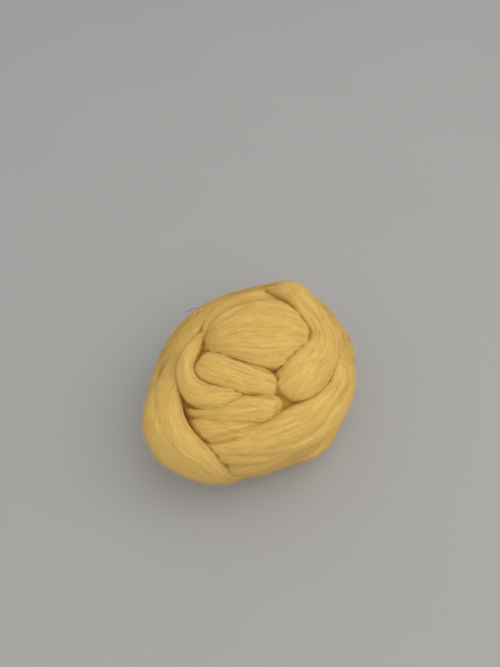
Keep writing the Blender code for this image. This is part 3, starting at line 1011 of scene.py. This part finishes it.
@dataclass
class InnerWool:
    """The rounded wool under the turns, which shows only at the bottom of the deepest gaps."""

    oval: Oval
    finish: bpy.types.Material
    name: str = "inner_wool"
    rings: int = 60
    sides: int = 120
    sunk: float = 0.4
    lowest: float = 0.02
    map_margin: float = 0.005

    def build(self) -> None:
        """Makes and dresses the piece."""
        rise = np.linspace(-math.pi / 2, math.pi / 2, self.rings + 1)[1:-1]
        bearing = np.linspace(0, 2 * math.pi, self.sides, endpoint=False)
        level, around = np.meshgrid(rise, bearing, indexing="ij")
        flat = np.cos(level)
        ball = np.stack((flat * np.cos(around), flat * np.sin(around), np.sin(level)), axis=-1)
        ball = np.concatenate((ball.reshape(-1, 3), ((0.0, 0.0, -1.0), (0.0, 0.0, 1.0))))
        points = self.oval.on_body(ball, -self.sunk)
        points[:, 2] = np.maximum(points[:, 2], self.lowest)
        fan = np.arange(self.sides)
        turned, top = np.roll(fan, -1), level.size - self.sides
        low = np.stack((np.full(self.sides, level.size), turned, fan), axis=-1)
        high = np.stack((np.full(self.sides, level.size + 1), fan + top, turned + top), axis=-1)
        quads = grid_faces(self.rings - 1, self.sides)
        mesh = new_mesh(self.name, points * MM, quads, np.concatenate((low, high)))
        angles = np.stack((around.ravel(), level.ravel(), np.zeros(level.size)), axis=-1)
        angles = np.concatenate((angles, ((0, -math.pi / 2, 0), (0, math.pi / 2, 0))))
        store(mesh, angles * self.oval.half_axes.mean(), self.mapped())
        # Full shelter everywhere, so the whole inner wool takes the painted crease shade.
        store_values(mesh, {SHELTER: np.ones(len(points))})
        mesh.materials.append(self.finish)
        hand_over(shown(self.name, mesh), True)

    def mapped(self) -> Array:
        """The places of the faces' corners on the bake map, by bearing and height.

        Returns:
            One place for each corner.
        """
        fan = np.arange(self.sides)
        grid = np.meshgrid(np.arange(self.rings - 2), fan, indexing="ij")
        rows, columns = (part.ravel() for part in grid)
        x = [np.stack((columns, columns + 1, columns + 1, columns), axis=-1)]
        x += [np.stack((fan + 0.5, fan + 1, fan), axis=-1), np.stack((fan + 0.5, fan, fan + 1), axis=-1)]
        y = [np.stack((rows, rows, rows + 1, rows + 1), axis=-1) + 1, np.tile((0, 1, 1), (self.sides, 1))]
        y += [np.tile((self.rings, self.rings - 1, self.rings - 1), (self.sides, 1))]
        x, y = (np.concatenate([part.ravel() for part in parts]) for parts in (x, y))
        places = np.stack((x / self.sides, y / self.rings), axis=-1)
        return self.map_margin + (1 - 2 * self.map_margin) * places


class FibreTree:
    """The geometry tree that turns thin lines into round, tapering, gently crimped fibres."""

    inputs: tuple[str, ...] = ("Fibre radius", "Tip share", "Crimp height", "Crimp length", "Seed")

    def __init__(self, name: str, finish: bpy.types.Material) -> None:
        """Builds the tree.

        Args:
            name: the tree's name.
            finish: the fibres' material.
        """
        self.tree = bpy.data.node_groups.new(name, "GeometryNodeTree")
        face = self.tree.interface
        face.new_socket("Geometry", in_out="INPUT", socket_type="NodeSocketGeometry")
        self.sockets: dict[str, str] = {}
        for given_name in self.inputs:
            socket = face.new_socket(given_name, in_out="INPUT", socket_type="NodeSocketFloat")
            self.sockets[given_name] = socket.identifier
        face.new_socket("Geometry", in_out="OUTPUT", socket_type="NodeSocketGeometry")
        self.nodes = nodes = Nodes(self.tree)
        self.given = nodes.node("NodeGroupInput").outputs
        tube = {
            "Curve": nodes.add("GeometryNodeMeshToCurve", {"Mesh": self.crimped()}),
            "Profile Curve": nodes.add("GeometryNodeCurvePrimitiveCircle", {"Resolution": SIDES_OF_FIBRE}),
            "Scale": self.thickness(),
            "Fill Caps": True,
        }
        tubes = nodes.add("GeometryNodeCurveToMesh", tube)
        smooth = nodes.add("GeometryNodeSetShadeSmooth", {"Geometry": tubes})
        real = nodes.add("GeometryNodeRealizeInstances", {"Geometry": smooth})
        dressed = nodes.add("GeometryNodeSetMaterial", {"Geometry": real, "Material": finish})
        nodes.node("NodeGroupOutput", {0: dressed})

    def crimped(self) -> Socket:
        """Bends the lines by smooth seeded noise, each fibre in its own way.

        Returns:
            The bent lines.
        """
        nodes, given = self.nodes, self.given
        own = nodes.add("GeometryNodeInputNamedAttribute", {"Name": "own"}, data_type="FLOAT")
        place = {
            "Vector": nodes.add("GeometryNodeInputPosition"),
            "W": nodes.worked("ADD", own, given["Seed"]),
            "Scale": nodes.worked("DIVIDE", 1.0, given["Crimp length"]),
            "Detail": 1.0,
        }
        noise = nodes.add("ShaderNodeTexNoise", place, "Color", noise_dimensions="4D")
        centred = nodes.add("ShaderNodeVectorMath", {0: noise, 1: (0.5, 0.5, 0.5)}, operation="SUBTRACT")
        size = {0: centred, "Scale": given["Crimp height"]}
        bend = nodes.add("ShaderNodeVectorMath", size, operation="SCALE")
        return nodes.add("GeometryNodeSetPosition", {"Geometry": given["Geometry"], "Offset": bend})

    def thickness(self) -> Socket:
        """The fibre's radius at each point, full at its middle and less at both ends.

        Returns:
            The radius.
        """
        nodes, given = self.nodes, self.given
        share = nodes.add("GeometryNodeInputNamedAttribute", {"Name": "share"}, data_type="FLOAT")
        arch = nodes.worked("MULTIPLY", share, nodes.worked("SUBTRACT", 1.0, share))
        ends = {"Value": arch, "From Max": 0.25, "To Min": given["Tip share"]}
        return nodes.worked("MULTIPLY", nodes.add("ShaderNodeMapRange", ends), given["Fibre radius"])

    def grow(self, lines: bpy.types.Object, values: tuple[float, ...]) -> bpy.types.Mesh:
        """Makes the fibres.

        Args:
            lines: the object that holds the thin lines.
            values: the tree's inputs, in their order.

        Returns:
            A plain mesh, with the modifier gone from the object.
        """
        modifier = lines.modifiers.new("fibres", "NODES")
        modifier.node_group = self.tree
        for name, value in zip(self.inputs, values):
            modifier[self.sockets[name]] = float(value)
        graph = bpy.context.evaluated_depsgraph_get()
        made = bpy.data.meshes.new_from_object(lines.evaluated_get(graph))
        lines.modifiers.remove(modifier)
        return made


@dataclass(kw_only=True)
class Fibres:
    """Round, tapering fibres of one piece, with the sizes that their geometry tree is given."""

    name: str
    radius: float
    tip_share: float = 0.35
    crimp_height: float = 0.5
    crimp_length: float = 4.0
    seed: int = 1
    crimp_apart: float = 0.73

    def grown(self, lines: Array, shelter: Array, finish: FibreFinish) -> None:
        """Grows the fibres along lines, as one plain mesh, and hands it over.

        Args:
            lines: the lines' points: line, point, place.
            shelter: how sheltered each point is.
            finish: the fibres' finish.
        """
        count, steps = lines.shape[:2]
        thin = bpy.data.meshes.new(self.name + "_lines")
        thin.vertices.add(count * steps)
        thin.vertices.foreach_set("co", (lines * MM).ravel())
        numbers = np.arange(count * steps).reshape(count, steps)
        pairs = np.stack((numbers[:, :-1], numbers[:, 1:]), axis=-1).reshape(-1, 2)
        thin.edges.add(len(pairs))
        thin.edges.foreach_set("vertices", pairs.astype(np.int32).ravel())
        share = np.tile(np.linspace(0, 1, steps), count)
        own = np.repeat(np.arange(count) * self.crimp_apart, steps)
        store_values(thin, {"share": share, "own": own, SHELTER: shelter})
        piece = shown(self.name, thin)
        crimp = (self.crimp_height * MM, self.crimp_length * MM, self.seed)
        tree = FibreTree(self.name + "_tree", finish.material())
        mesh = tree.grow(piece, (self.radius * MM, self.tip_share, *crimp))
        mesh.name = self.name
        piece.data = mesh
        bpy.data.meshes.remove(thin)
        self.dress(mesh, count, steps)
        hand_over(piece, False)

    @staticmethod
    def dress(mesh: bpy.types.Mesh, count: int, steps: int) -> None:
        """Stores each fibre's run and its own cell of the bake map.

        Args:
            mesh: the fibres' mesh, with a ring of points for each step of each fibre.
            count: how many fibres.
            steps: how many steps each has.
        """
        for extra in [a.name for a in mesh.attributes if a.name in ("share", "own")]:
            mesh.attributes.remove(mesh.attributes[extra])
        ring, side = np.divmod(np.arange(len(mesh.vertices)), SIDES_OF_FIBRE)
        fibre, step = np.divmod(ring, steps)
        corners = np.empty(len(mesh.loops), np.int32)
        mesh.loops.foreach_get("vertex_index", corners)
        starts = np.empty(len(mesh.polygons), np.int32)
        mesh.polygons.foreach_get("loop_start", starts)
        sizes = np.diff(np.append(starts, len(corners)))
        face = np.repeat(np.arange(len(starts)), sizes)
        sides = side[corners].astype(float)
        widest = np.maximum.reduceat(sides, starts)[face]
        narrowest = np.minimum.reduceat(sides, starts)[face]
        four = sizes[face] == 4
        wraps = four & (widest == SIDES_OF_FIBRE - 1) & (narrowest == 0) & (sides == 0)
        over = np.where(wraps, SIDES_OF_FIBRE, sides) / SIDES_OF_FIBRE
        cap_way = np.where(step[corners] == 0, -1.0, 1.0)
        along = CELL_START + CELL_LENGTH * (step[corners] / (steps - 1))
        along += np.where(four, 0, cap_way * CAP_LENGTH * (sides == 1))
        columns = max(1, round(math.sqrt(count / 4)))
        rows = math.ceil(count / columns)
        row, column = np.divmod(fibre[corners], columns)
        up = (row + CELL_FLOOR + CELL_HEIGHT * over) / rows
        run = np.stack((step * STEP_APART, fibre * FIBRE_APART, fibre % TINTS * TINT_APART), axis=-1)
        store(mesh, run, np.stack(((column + along) / columns, up), axis=-1))


@dataclass(kw_only=True)
class FibreCoat(Fibres):
    """Loose fibres that lie on the turns and follow their run."""

    count: int
    length: tuple[float, float]
    arch: tuple[float, float]
    rise: tuple[float, float]
    stray: float
    points: int = 7
    sunk: float = 0.06
    evenness: float = 1.0
    lowest: float = 0.4
    bow: float = 0.06
    tries_share: float = 0.8

    def paths(self, surfaces: list[Surface], cover: Cover) -> tuple[Array, Array]:
        """Lines for the fibres to follow, laid only where the wool shows.

        Args:
            surfaces: the turns' skins.
            cover: what tells covered places from open ones.

        Returns:
            The lines' points (line, point, place), and how sheltered each point is.
        """
        rng = np.random.default_rng(self.seed)
        areas = np.array([surface.along[-1] * np.ptp(surface.girth) for surface in surfaces])
        share = np.linspace(0, 1, self.points)
        found: list[Array] = []
        shelters: list[Array] = []
        while sum(map(len, found)) < self.count:
            for surface, amount in zip(surfaces, areas / areas.sum()):
                tries = int(self.count * amount * self.tries_share) + 1
                length = rng.uniform(*self.length, tries)
                way = rng.choice((-1, 1), tries)
                angle = np.radians(rng.normal(0, self.stray, tries))
                start = rng.uniform(0, surface.along[-1], tries)
                low, high = surface.girth[surface.upper[0]], surface.girth[surface.upper[1] - 1]
                girth = low + (high - low) * rng.beta(self.evenness, self.evenness, tries)
                bend = rng.normal(0, self.bow, tries)[:, None] * length[:, None] * share * (share - 1)
                along = start[:, None] + (way * length * np.cos(angle))[:, None] * share
                sides = girth[:, None] + (length * np.sin(angle))[:, None] * share + bend
                inside = (along.min(1) > 0) & (along.max(1) < surface.along[-1])
                inside &= (sides.min(1) > low) & (sides.max(1) < high)
                places, outwards, shelter = surface.at(along[inside], sides[inside])
                arch = rng.uniform(*self.arch, tries)[inside, None] * 4 * share * (1 - share)
                rise = rng.uniform(*self.rise, tries)[inside, None] * share**2
                lines = places + outwards * (arch + rise - self.sunk)[..., None]
                open_air = cover.is_open(lines[:, self.points // 2], outwards[:, self.points // 2])
                found.append(lines[open_air])
                shelters.append(shelter[open_air])
        lines = np.concatenate(found)
        lines[..., 2] = np.maximum(lines[..., 2], self.lowest)
        kept = rng.permutation(len(lines))[: self.count]
        return lines[kept], np.concatenate(shelters)[kept]

    def build(self, surfaces: list[Surface], cover: Cover, finish: FibreFinish) -> None:
        """Makes and dresses the piece, on the turns' skins where nothing covers them."""
        self.grown(*self.paths(surfaces, cover), finish)


@dataclass(kw_only=True)
class CaughtHair(Fibres):
    """The one dark hair that is caught on the ball's upper left edge."""

    oval: Oval
    name: str = "caught_hair"
    radius: float = 0.15
    tip_share: float = 0.6
    crimp_height: float = 0.0
    crimp_length: float = 5.0
    seed: int = 3
    across: tuple[float, ...] = (-37.1, -35.2, -33.1, -31.3, -30.1, -29.3, -29.8, -30.3, -29.6)
    up: tuple[float, ...] = (36.5, 37.6, 38.5, 39.1, 39.3, 38.7, 37.8, 37.0, 35.6)
    steps: int = 22

    def build(self) -> None:
        """Makes and dresses the hair."""
        knots = np.linspace(0, len(self.up) - 1, self.steps)
        across, up = (np.interp(knots, np.arange(len(self.up)), row) for row in (self.across, self.up))
        across, up = (np.convolve(np.pad(v, 1, "edge"), (0.25, 0.5, 0.25), "valid") for v in (across, up))
        line = self.oval.centre + across[:, None] * np.array((1.0, 0, 0)) + up[:, None] * self.oval.view_up
        finish = FibreFinish("dark_hair", WoolTone.RUST, WoolTone.RUST)
        self.grown(line[None], np.zeros((1, self.steps)), finish)


@dataclass
class Ball:
    """The whole ball: its turns, its inner wool and its loose fibres."""

    oval: Oval
    groups: dict[str, tuple[Turn, ...]]
    creases: tuple[Crease, ...]
    coats: tuple[FibreCoat, ...]
    wisps: Turn
    wisp_coat: FibreCoat

    def build(self) -> None:
        """Makes every piece of the ball, from the inside out."""
        finish = WoolFinish().material()
        InnerWool(self.oval, finish).build()
        turns = [turn for group in self.groups.values() for turn in group]
        surfaces = [turn.surface(self.oval, number, self.creases) for number, turn in enumerate(turns, 1)]
        cover = Cover(surfaces)
        surfaces = [cover.shelter(surface) for surface in surfaces]
        named = {surface.name: surface for surface in surfaces}
        for name, group in self.groups.items():
            WoundGroup(name, [named[turn.name] for turn in group], finish).build()
        loose = FibreFinish("loose_fibre", WoolTone.STRAW, WoolTone.BLOND)
        for coat in self.coats:
            coat.build(surfaces, cover, loose)
        self.wisp_coat.build([self.wisps.surface(self.oval, len(surfaces) + 1, ())], cover, loose)
        CaughtHair(oval=self.oval).build()


@dataclass
class Studio:
    """The plain pale floor, the soft light, the even sky and the camera."""

    oval: Oval
    floor_side: float = 3.0
    floor_tones: tuple[tuple[float, ...], ...] = ((0.372, 0.368, 0.358, 1), (0.392, 0.388, 0.378, 1))
    floor_noise: tuple[float, float] = (9.0, 3.0)
    floor_roughness: float = 0.7
    floor_specular: float = 0.2
    light_place: tuple[float, float, float] = (0.45, -0.25, 1.2)
    light_target: tuple[float, float, float] = (0, 0, 0.03)
    light_power: float = 11.4
    light_side: float = 1.6
    light_colour: tuple[float, float, float] = (1.0, 0.985, 0.955)
    sky_colour: tuple[float, ...] = (0.98, 0.985, 1.0, 1)
    sky_strength: float = 0.61
    lens: float = 27.0
    sensor: float = 36.0
    nearest: float = 0.01
    picture_size: tuple[float, float] = (500.0, 667.0)
    middle: tuple[float, float] = (252.0, 379.0)

    def build(self) -> None:
        """Makes the floor, the lights and the camera."""
        self.floor()
        self.lights()
        self.camera()

    def floor(self) -> None:
        """Makes the floor, which isn't part of the ball."""
        half = self.floor_side / 2
        corners = np.array(((-half, -half, 0), (half, -half, 0), (half, half, 0), (-half, half, 0)), float)
        mesh = new_mesh("pale_floor", corners, np.arange(4)[None])
        made, nodes, shader = new_material("pale_floor")
        noise = nodes.noise(nodes.add("ShaderNodeTexCoord", output="Object"), *self.floor_noise)
        tones = {0: noise, 6: self.floor_tones[0], 7: self.floor_tones[1]}
        tone = nodes.add("ShaderNodeMix", tones, 2, data_type="RGBA")
        finish = {"Roughness": self.floor_roughness, "Specular IOR Level": self.floor_specular}
        nodes.feed(shader, {"Base Color": tone, **finish})
        mesh.materials.append(made)
        shown("pale_floor", mesh)

    def lights(self) -> None:
        """Makes one broad soft light overhead and an even sky."""
        light = bpy.data.lights.new("key_light", "AREA")
        light.energy = self.light_power
        light.size = self.light_side
        light.color = self.light_colour
        made = shown("key_light", light)
        made.location = self.light_place
        aim = Vector(self.light_target) - Vector(self.light_place)
        made.rotation_euler = aim.to_track_quat("-Z", "Y").to_euler()
        world = bpy.data.worlds.new("even_sky")
        world.use_nodes = True
        sky = {"Color": self.sky_colour, "Strength": self.sky_strength}
        Nodes(world.node_tree).feed(world.node_tree.nodes["Background"], sky)
        bpy.context.scene.world = world

    def camera(self) -> None:
        """Makes the camera, looking down at the ball from the front."""
        lens = bpy.data.cameras.new("view")
        lens.lens = self.lens
        lens.sensor_width = self.sensor
        lens.clip_start = self.nearest
        made = shown("view", lens)
        pixels = self.lens / self.sensor * self.picture_size[1]
        aside = (self.picture_size[0] / 2 - self.middle[0]) * self.oval.view_distance / pixels
        made.location = Vector((self.oval.centre + self.oval.eye + np.array((aside, 0, 0))) * MM)
        below = math.degrees(math.atan((self.middle[1] - self.picture_size[1] / 2) / pixels))
        made.rotation_euler = (math.radians(90 - self.oval.view_elevation + below), 0, 0)
        bpy.context.scene.camera = made
        bpy.context.scene.view_settings.view_transform = "Standard"


def seen(*rows: tuple[float, ...]) -> tuple[Seen, ...]:
    """A turn's places that show from the eye, one for each row."""
    return tuple(Seen(*row) for row in rows)


def around(*rows: tuple[float, ...]) -> tuple[Round, ...]:
    """A turn's places by bearing and height, one for each row."""
    return tuple(Round(*row) for row in rows)


GROUPS = {
    "nest_turns": (
        Turn("top_back", 6.0, 2.6, seen(
            (-31.2, 22.1, 3, -5), (-27.4, 28.7, 4.5, -2.2), (-22, 35.2, 6.5, -1.2), (-13.5, 41, 8, -0.6),
            (-1.9, 45.7, 9, -0.4), (10.5, 48, 9.5, -0.8), (22.8, 45.7, 9, -2), (32.9, 39.1, 7, -5),
        )),
        Turn("top_dome", 7.5, 3.0, seen(
            (-33.1, 16.7, 3, -7), (-27.4, 19.8, 7, -3.4), (-20, 23.7, 12.3, -1.2), (-9.6, 27.5, 18, -0.3),
            (3.5, 29.4, 21.5, -0.1), (16.6, 29.4, 21.5, -0.2), (27.5, 27.5, 18, -1.4),
            (36.7, 24.8, 12.5, -4), (44.4, 21.7, 8, -7.5),
        )),
        Turn("middle_sausage", 5.6, 2.3, seen(
            (-37.2, 14, 4, -6), (-31.8, 10.7, 7.8, -2.2), (-22.7, 7.3, 9.3, -0.6), (-11.1, 4, 9.5, -0.2),
            (-1.9, 0.7, 9, -0.2), (7.4, -2.2, 7.8, -0.6), (14.3, -4, 6.2, -2), (20.5, -5.3, 4, -5),
        )),
        Turn("left_hook", 5.2, 2.3, seen(
            (-23.1, 36, 3, -6.5), (-27.2, 30.5, 3.6, -3.4), (-32.1, 24.4, 4.2, -2),
            (-36.2, 18.3, 4.6, -1.2), (-38.9, 11.7, 4.8, -0.6), (-39.9, 4.4, 5, 0),
            (-37.2, -3.7, 5.8, 0.4), (-30.4, -9.5, 6.6, 0.5), (-21.2, -10.5, 5.8, 0.1),
            (-11.9, -9.5, 4.8, -0.8), (-2.7, -7.8, 3.6, -2.4), (5.1, -7.1, 2.6, -5),
        )),
        Turn("lower_fold", 4.8, 2.3, seen(
            (-45.5, -11.5, 5, -5), (-38.2, -15.3, 6.4, -2.6), (-28.9, -17.6, 6, -1.8),
            (-18.9, -18.8, 6, -1.2), (-8.1, -18, 7, -0.3), (1.2, -16.9, 7.8, 0), (8.2, -16.8, 7.6, -0.4),
            (14.3, -17.7, 6.8, -2.2), (20.5, -19, 5.8, -4.8), (26.7, -20.2, 4.2, -8),
        )),
        Turn("lower_fan", 4.2, 2.4, seen(
            (-44.3, -24.6, 6.5, -4.5), (-36.6, -26.9, 7.4, -2.4), (-28.1, -29.2, 7.2, -1.6),
            (-18.9, -29.4, 6.6, -1.2), (-8.1, -28.2, 5.6, -1), (1.2, -26.2, 4.6, -1.2),
            (9.7, -23.8, 3.6, -1.8), (16.6, -21.5, 2.8, -4.5),
        )),
    ),
    "right_turns": (
        Turn("right_wrap", 5.6, 2.4, around(
            (150, 20, 8, -5.5), (128, 29, 9, -3.4), (106, 38, 9, -3), (84, 45, 8.8, -3),
            (62, 51, 8.6, -3.2), (43, 55, 8, -3.4), (27, 57.5, 8, -3),
        ) + seen(
            (50, 22.1, 8.6, -2.4), (52.3, 12.9, 9.4, -1.2), (52.8, 3.4, 10.6, 0.8),
            (50.8, -6.8, 11.8, 1.4), (44.8, -16.5, 12.4, 2.4), (35.6, -25, 12.6, 1.6),
            (24.4, -31.9, 12.2, 0.6), (12, -36.9, 11.6, -0.4), (-1.1, -40, 11, -1.2),
            (-15, -40.8, 10.2, -2), (-28.9, -36.6, 9, -3.6), (-39.7, -25.7, 8, -5),
        )),
        Turn("right_shoulder", 5.8, 2.5, around(
            (168, 14, 8, -5.5), (152, 24, 9, -3.2), (134, 35, 9, -2.4), (115, 45, 8.4, -2),
            (97, 53, 7.6, -3.4), (79, 62, 6.6, -0.6),
        ) + seen(
            (19, 47.7, 6.2, 6), (25.1, 44.7, 6.8, 6), (31.7, 39.1, 7.4, 3.8), (38.3, 32.2, 8, 1.4),
            (42.3, 24.4, 9, 0.4), (41.7, 16.7, 10.2, 1), (37.1, 9.6, 11, 1.8), (31.6, 3.4, 11.3, 2.2),
            (27.5, -0.9, 10.8, 1.4), (23.4, -5.1, 10.2, -0.8), (19.7, -8.9, 9.4, -3.2),
            (16.2, -12.6, 8.2, -5.8), (12.6, -16.2, 6.5, -9),
        )),
    ),
    "left_turns": (
        Turn("left_wrap", 5.4, 2.4, around(
            (28, 18, 7, -5.5), (46, 29, 8.5, -2.8), (66, 40, 9, -2.2), (87, 50, 8.6, -3),
            (108, 56, 7.4, -3.2),
        ) + seen(
            (-28.9, 36.8, 6.4, -1.4), (-35.5, 30.6, 6.6, -1.2), (-41.6, 22.1, 7.4, -1.8),
            (-46.4, 12.1, 7.6, -3), (-49.1, 0.9, 8.4, -1.8), (-51.3, -10.7, 9.6, 1.8),
            (-50.4, -21.9, 10.8, 4.6), (-46, -32.7, 11.4, 5.6), (-38.9, -42.2, 11.6, 4.2),
            (-30.4, -49.7, 11.2, 1.8),
        ) + around(
            (253, 29, 10.6, -1.6), (262, 17, 9.6, -3.8), (270, 6, 9, -4.4), (278, -4, 8, -6.5),
        )),
        Turn("low_left_turn", 5.2, 2.4, around(
            (112, 24, 8, -4.5), (140, 22, 9.5, -0.8), (168, 17, 10, -2.2), (196, 12, 9.5, -2.2),
            (222, 9, 9, -1.6), (246, 6, 8, -4.5),
        )),
        Turn("left_side", 5.2, 2.4, around(
            (98, 36, 8, -6), (122, 42, 11, -3.4), (146, 46, 12.5, -4), (170, 47, 13, -5.2),
            (194, 43, 13, -4.8), (216, 34, 12.5, -3.8), (236, 23, 11, -3.8), (254, 14, 8, -6),
        )),
    ),
    "back_turns": (
        Turn("low_turn", 5.4, 2.4, around(
            (262, 7, 8, -6), (280, 8, 9, -3.6), (298, 9, 9.5, -0.4), (316, 10, 10, 4.4),
            (332, 11, 9.5, 4.6), (350, 13, 9.5, 0), (8, 15, 9.5, -0.2), (35, 16, 10, -0.4),
            (70, 15, 10, -0.4), (105, 13, 10, -0.6), (140, 13, 9, -1.5), (170, 16, 8, -4.5),
        )),
        Turn("back_wrap", 5.6, 2.4, around(
            (205, 20, 8, -6), (182, 26, 10, -4.4), (158, 31, 12, -2.6), (132, 36, 13, -0.8),
            (106, 40, 13, -2), (80, 40, 13, -2), (55, 38, 12.5, -2.2), (32, 38, 12, -4.8),
            (12, 42, 11, -3.6), (352, 45, 8, -6),
        )),
        Turn("back_crossing", 5.4, 2.4, around(
            (8, 30, 8, -5.5), (30, 26, 10, -2), (55, 22, 11, 0.4), (80, 22, 11, 1), (105, 26, 11, 1),
            (130, 33, 11, 0), (150, 41, 10.5, -2.6), (168, 46, 9, -4.4), (184, 49, 8, -7),
        )),
    ),
    "front_turns": (
        Turn("front_low", 5.4, 2.4, around(
            (158, 27, 8, -6), (180, 27, 11, -4.4), (202, 26, 12.5, -4), (224, 23, 13, -4),
            (246, 20, 13, -4.4), (268, 18, 13, -4.6), (290, 19, 13, -3.6), (310, 21, 13, -2.4),
            (330, 25, 13, -2.8), (350, 31, 13, -3), (12, 39, 13, -3.8), (34, 48, 12.5, -4.8),
            (56, 55, 11, -4), (78, 58, 8, -7),
        )),
        Turn("front_mid", 5.4, 2.4, around(
            (226, 42, 8, -6), (246, 40, 8.5, -3.2), (268, 39, 8.5, -3.8), (290, 38, 8.5, -3.6),
            (311, 39, 9, -3), (331, 42, 9, -3.2), (348, 47, 8, -6),
        )),
        Turn("back_top", 5.2, 2.4, around(
            (352, 48, 8, -6.5), (14, 53, 9.5, -4.6), (36, 57, 10, -4), (60, 58, 10, -3.2),
            (84, 57, 10, -3.2), (108, 55, 10, -3.4), (130, 53, 9.5, -4), (152, 53, 9.5, -4.4),
            (172, 53, 9, -4.8), (194, 51, 8, -6.5),
        )),
    ),
}

CREASES = (
    Crease(("top_dome",), ((-28.1, 21.3), (-23.5, 26.7), (-18.9, 31.4), (-8.1, 38.3), (3.5, 43)), 0.9, 1.3),
    Crease(("top_dome",), ((-8.1, 29.1), (3.5, 32.9), (15.1, 34.5), (22.8, 33.7)), 0.5, 1.1),
    Crease(("right_wrap",), (
        (56, 5.1), (53, -3.7), (48.6, -11.3), (43.7, -18.2), (39.3, -25.1), (33.6, -30.1), (24.9, -34.5),
        (15.1, -37.3),
    ), 1.6, 1.2),
    Crease(("right_wrap",), ((-15.8, -41.2), (-0.3, -42), (15.1, -41.2), (26.7, -38.1)), 0.9, 1.2),
    Crease(("left_wrap",), ((-52.1, -0.3), (-53.6, -9.5), (-52.5, -18.8), (-49.7, -28.1)), 0.6, 1.3),
    Crease(("middle_sausage",), (
        (-15.8, 13.2), (-8.1, 10.9), (-0.3, 7.8), (7.4, 4.5), (15.9, 3.2),
    ), 1.6, 1.1),
    Crease(("top_dome", "middle_sausage"), (
        (-28.1, 30.6), (-30.1, 21.3), (-30.8, 14.4), (-33.9, 8.2),
    ), 3.2, 1.7),
    Crease(("lower_fold", "left_hook"), (
        (-42.8, -9.5), (-37.4, -13.8), (-31.8, -15.4), (-22, -14.8),
    ), 2.4, 1.1),
    Crease(("lower_fold", "middle_sausage"), ((-5, -8.5), (2, -8.6), (7.4, -9.8), (13, -11.1)), 2.2, 1.2),
    Crease(("right_shoulder",), ((13.5, -9.5), (17, -12.5), (21, -14.8), (26, -16), (30, -15.2)), 3.4, 2.6),
    Crease(("top_dome",), ((26.7, 36), (33, 30), (36.1, 23.1), (34.4, 19)), 2.0, 1.2),
    Crease(("right_wrap", "lower_fan"), (
        (-28.9, -33.5), (-23.5, -35.3), (-12.7, -34.2), (-3.4, -31.2),
    ), 1.3, 1.0),
)

COATS = (
    FibreCoat(
        name="laid_fibres", count=3800, length=(14, 34), radius=0.045, arch=(0.0, 0.1), rise=(0.0, 0.0),
        stray=1.6, points=9, sunk=0.01, crimp_height=0.3, crimp_length=14.0, seed=11,
    ),
    FibreCoat(
        name="fuzz_a", count=9400, length=(3, 7), radius=0.035, arch=(0.0, 0.2), rise=(0.4, 2.4),
        stray=24.0, points=4, seed=12,
    ),
    FibreCoat(
        name="fuzz_b", count=9400, length=(4, 9), radius=0.035, arch=(0.1, 0.5), rise=(0.4, 3.0),
        stray=18.0, points=4, seed=13,
    ),
    FibreCoat(
        name="flank_fibres", count=2200, length=(8, 18), radius=0.045, arch=(0.1, 0.7), rise=(0.0, 1.4),
        stray=9.0, points=6, evenness=0.35, seed=14,
    ),
)

# The wisps lie on a guide that isn't made itself.
WISPS = Turn("wisps", 2.0, 2.2, seen(
    (4.5, -9, 3.5, 0.2), (9, -14.5, 4.5, 1), (12, -20.5, 5, 1.2), (13, -26.5, 5, 1.2),
    (10.5, -32.5, 4.5, 0.8),
))
WISP_COAT = FibreCoat(
    name="crossing_wisps", count=30, length=(9, 20), radius=0.07, arch=(0.0, 0.5), rise=(0.0, 0.6),
    stray=12.0, points=7, sunk=0.2, seed=15,
)


def main() -> None:
    """Builds the ball and the studio."""
    logging.basicConfig(level=logging.INFO, format="%(message)s")
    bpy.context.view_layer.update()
    oval = Oval()
    Ball(oval, GROUPS, CREASES, COATS, WISPS, WISP_COAT).build()
    Studio(oval).build()


if __name__ == "__main__":
    main()
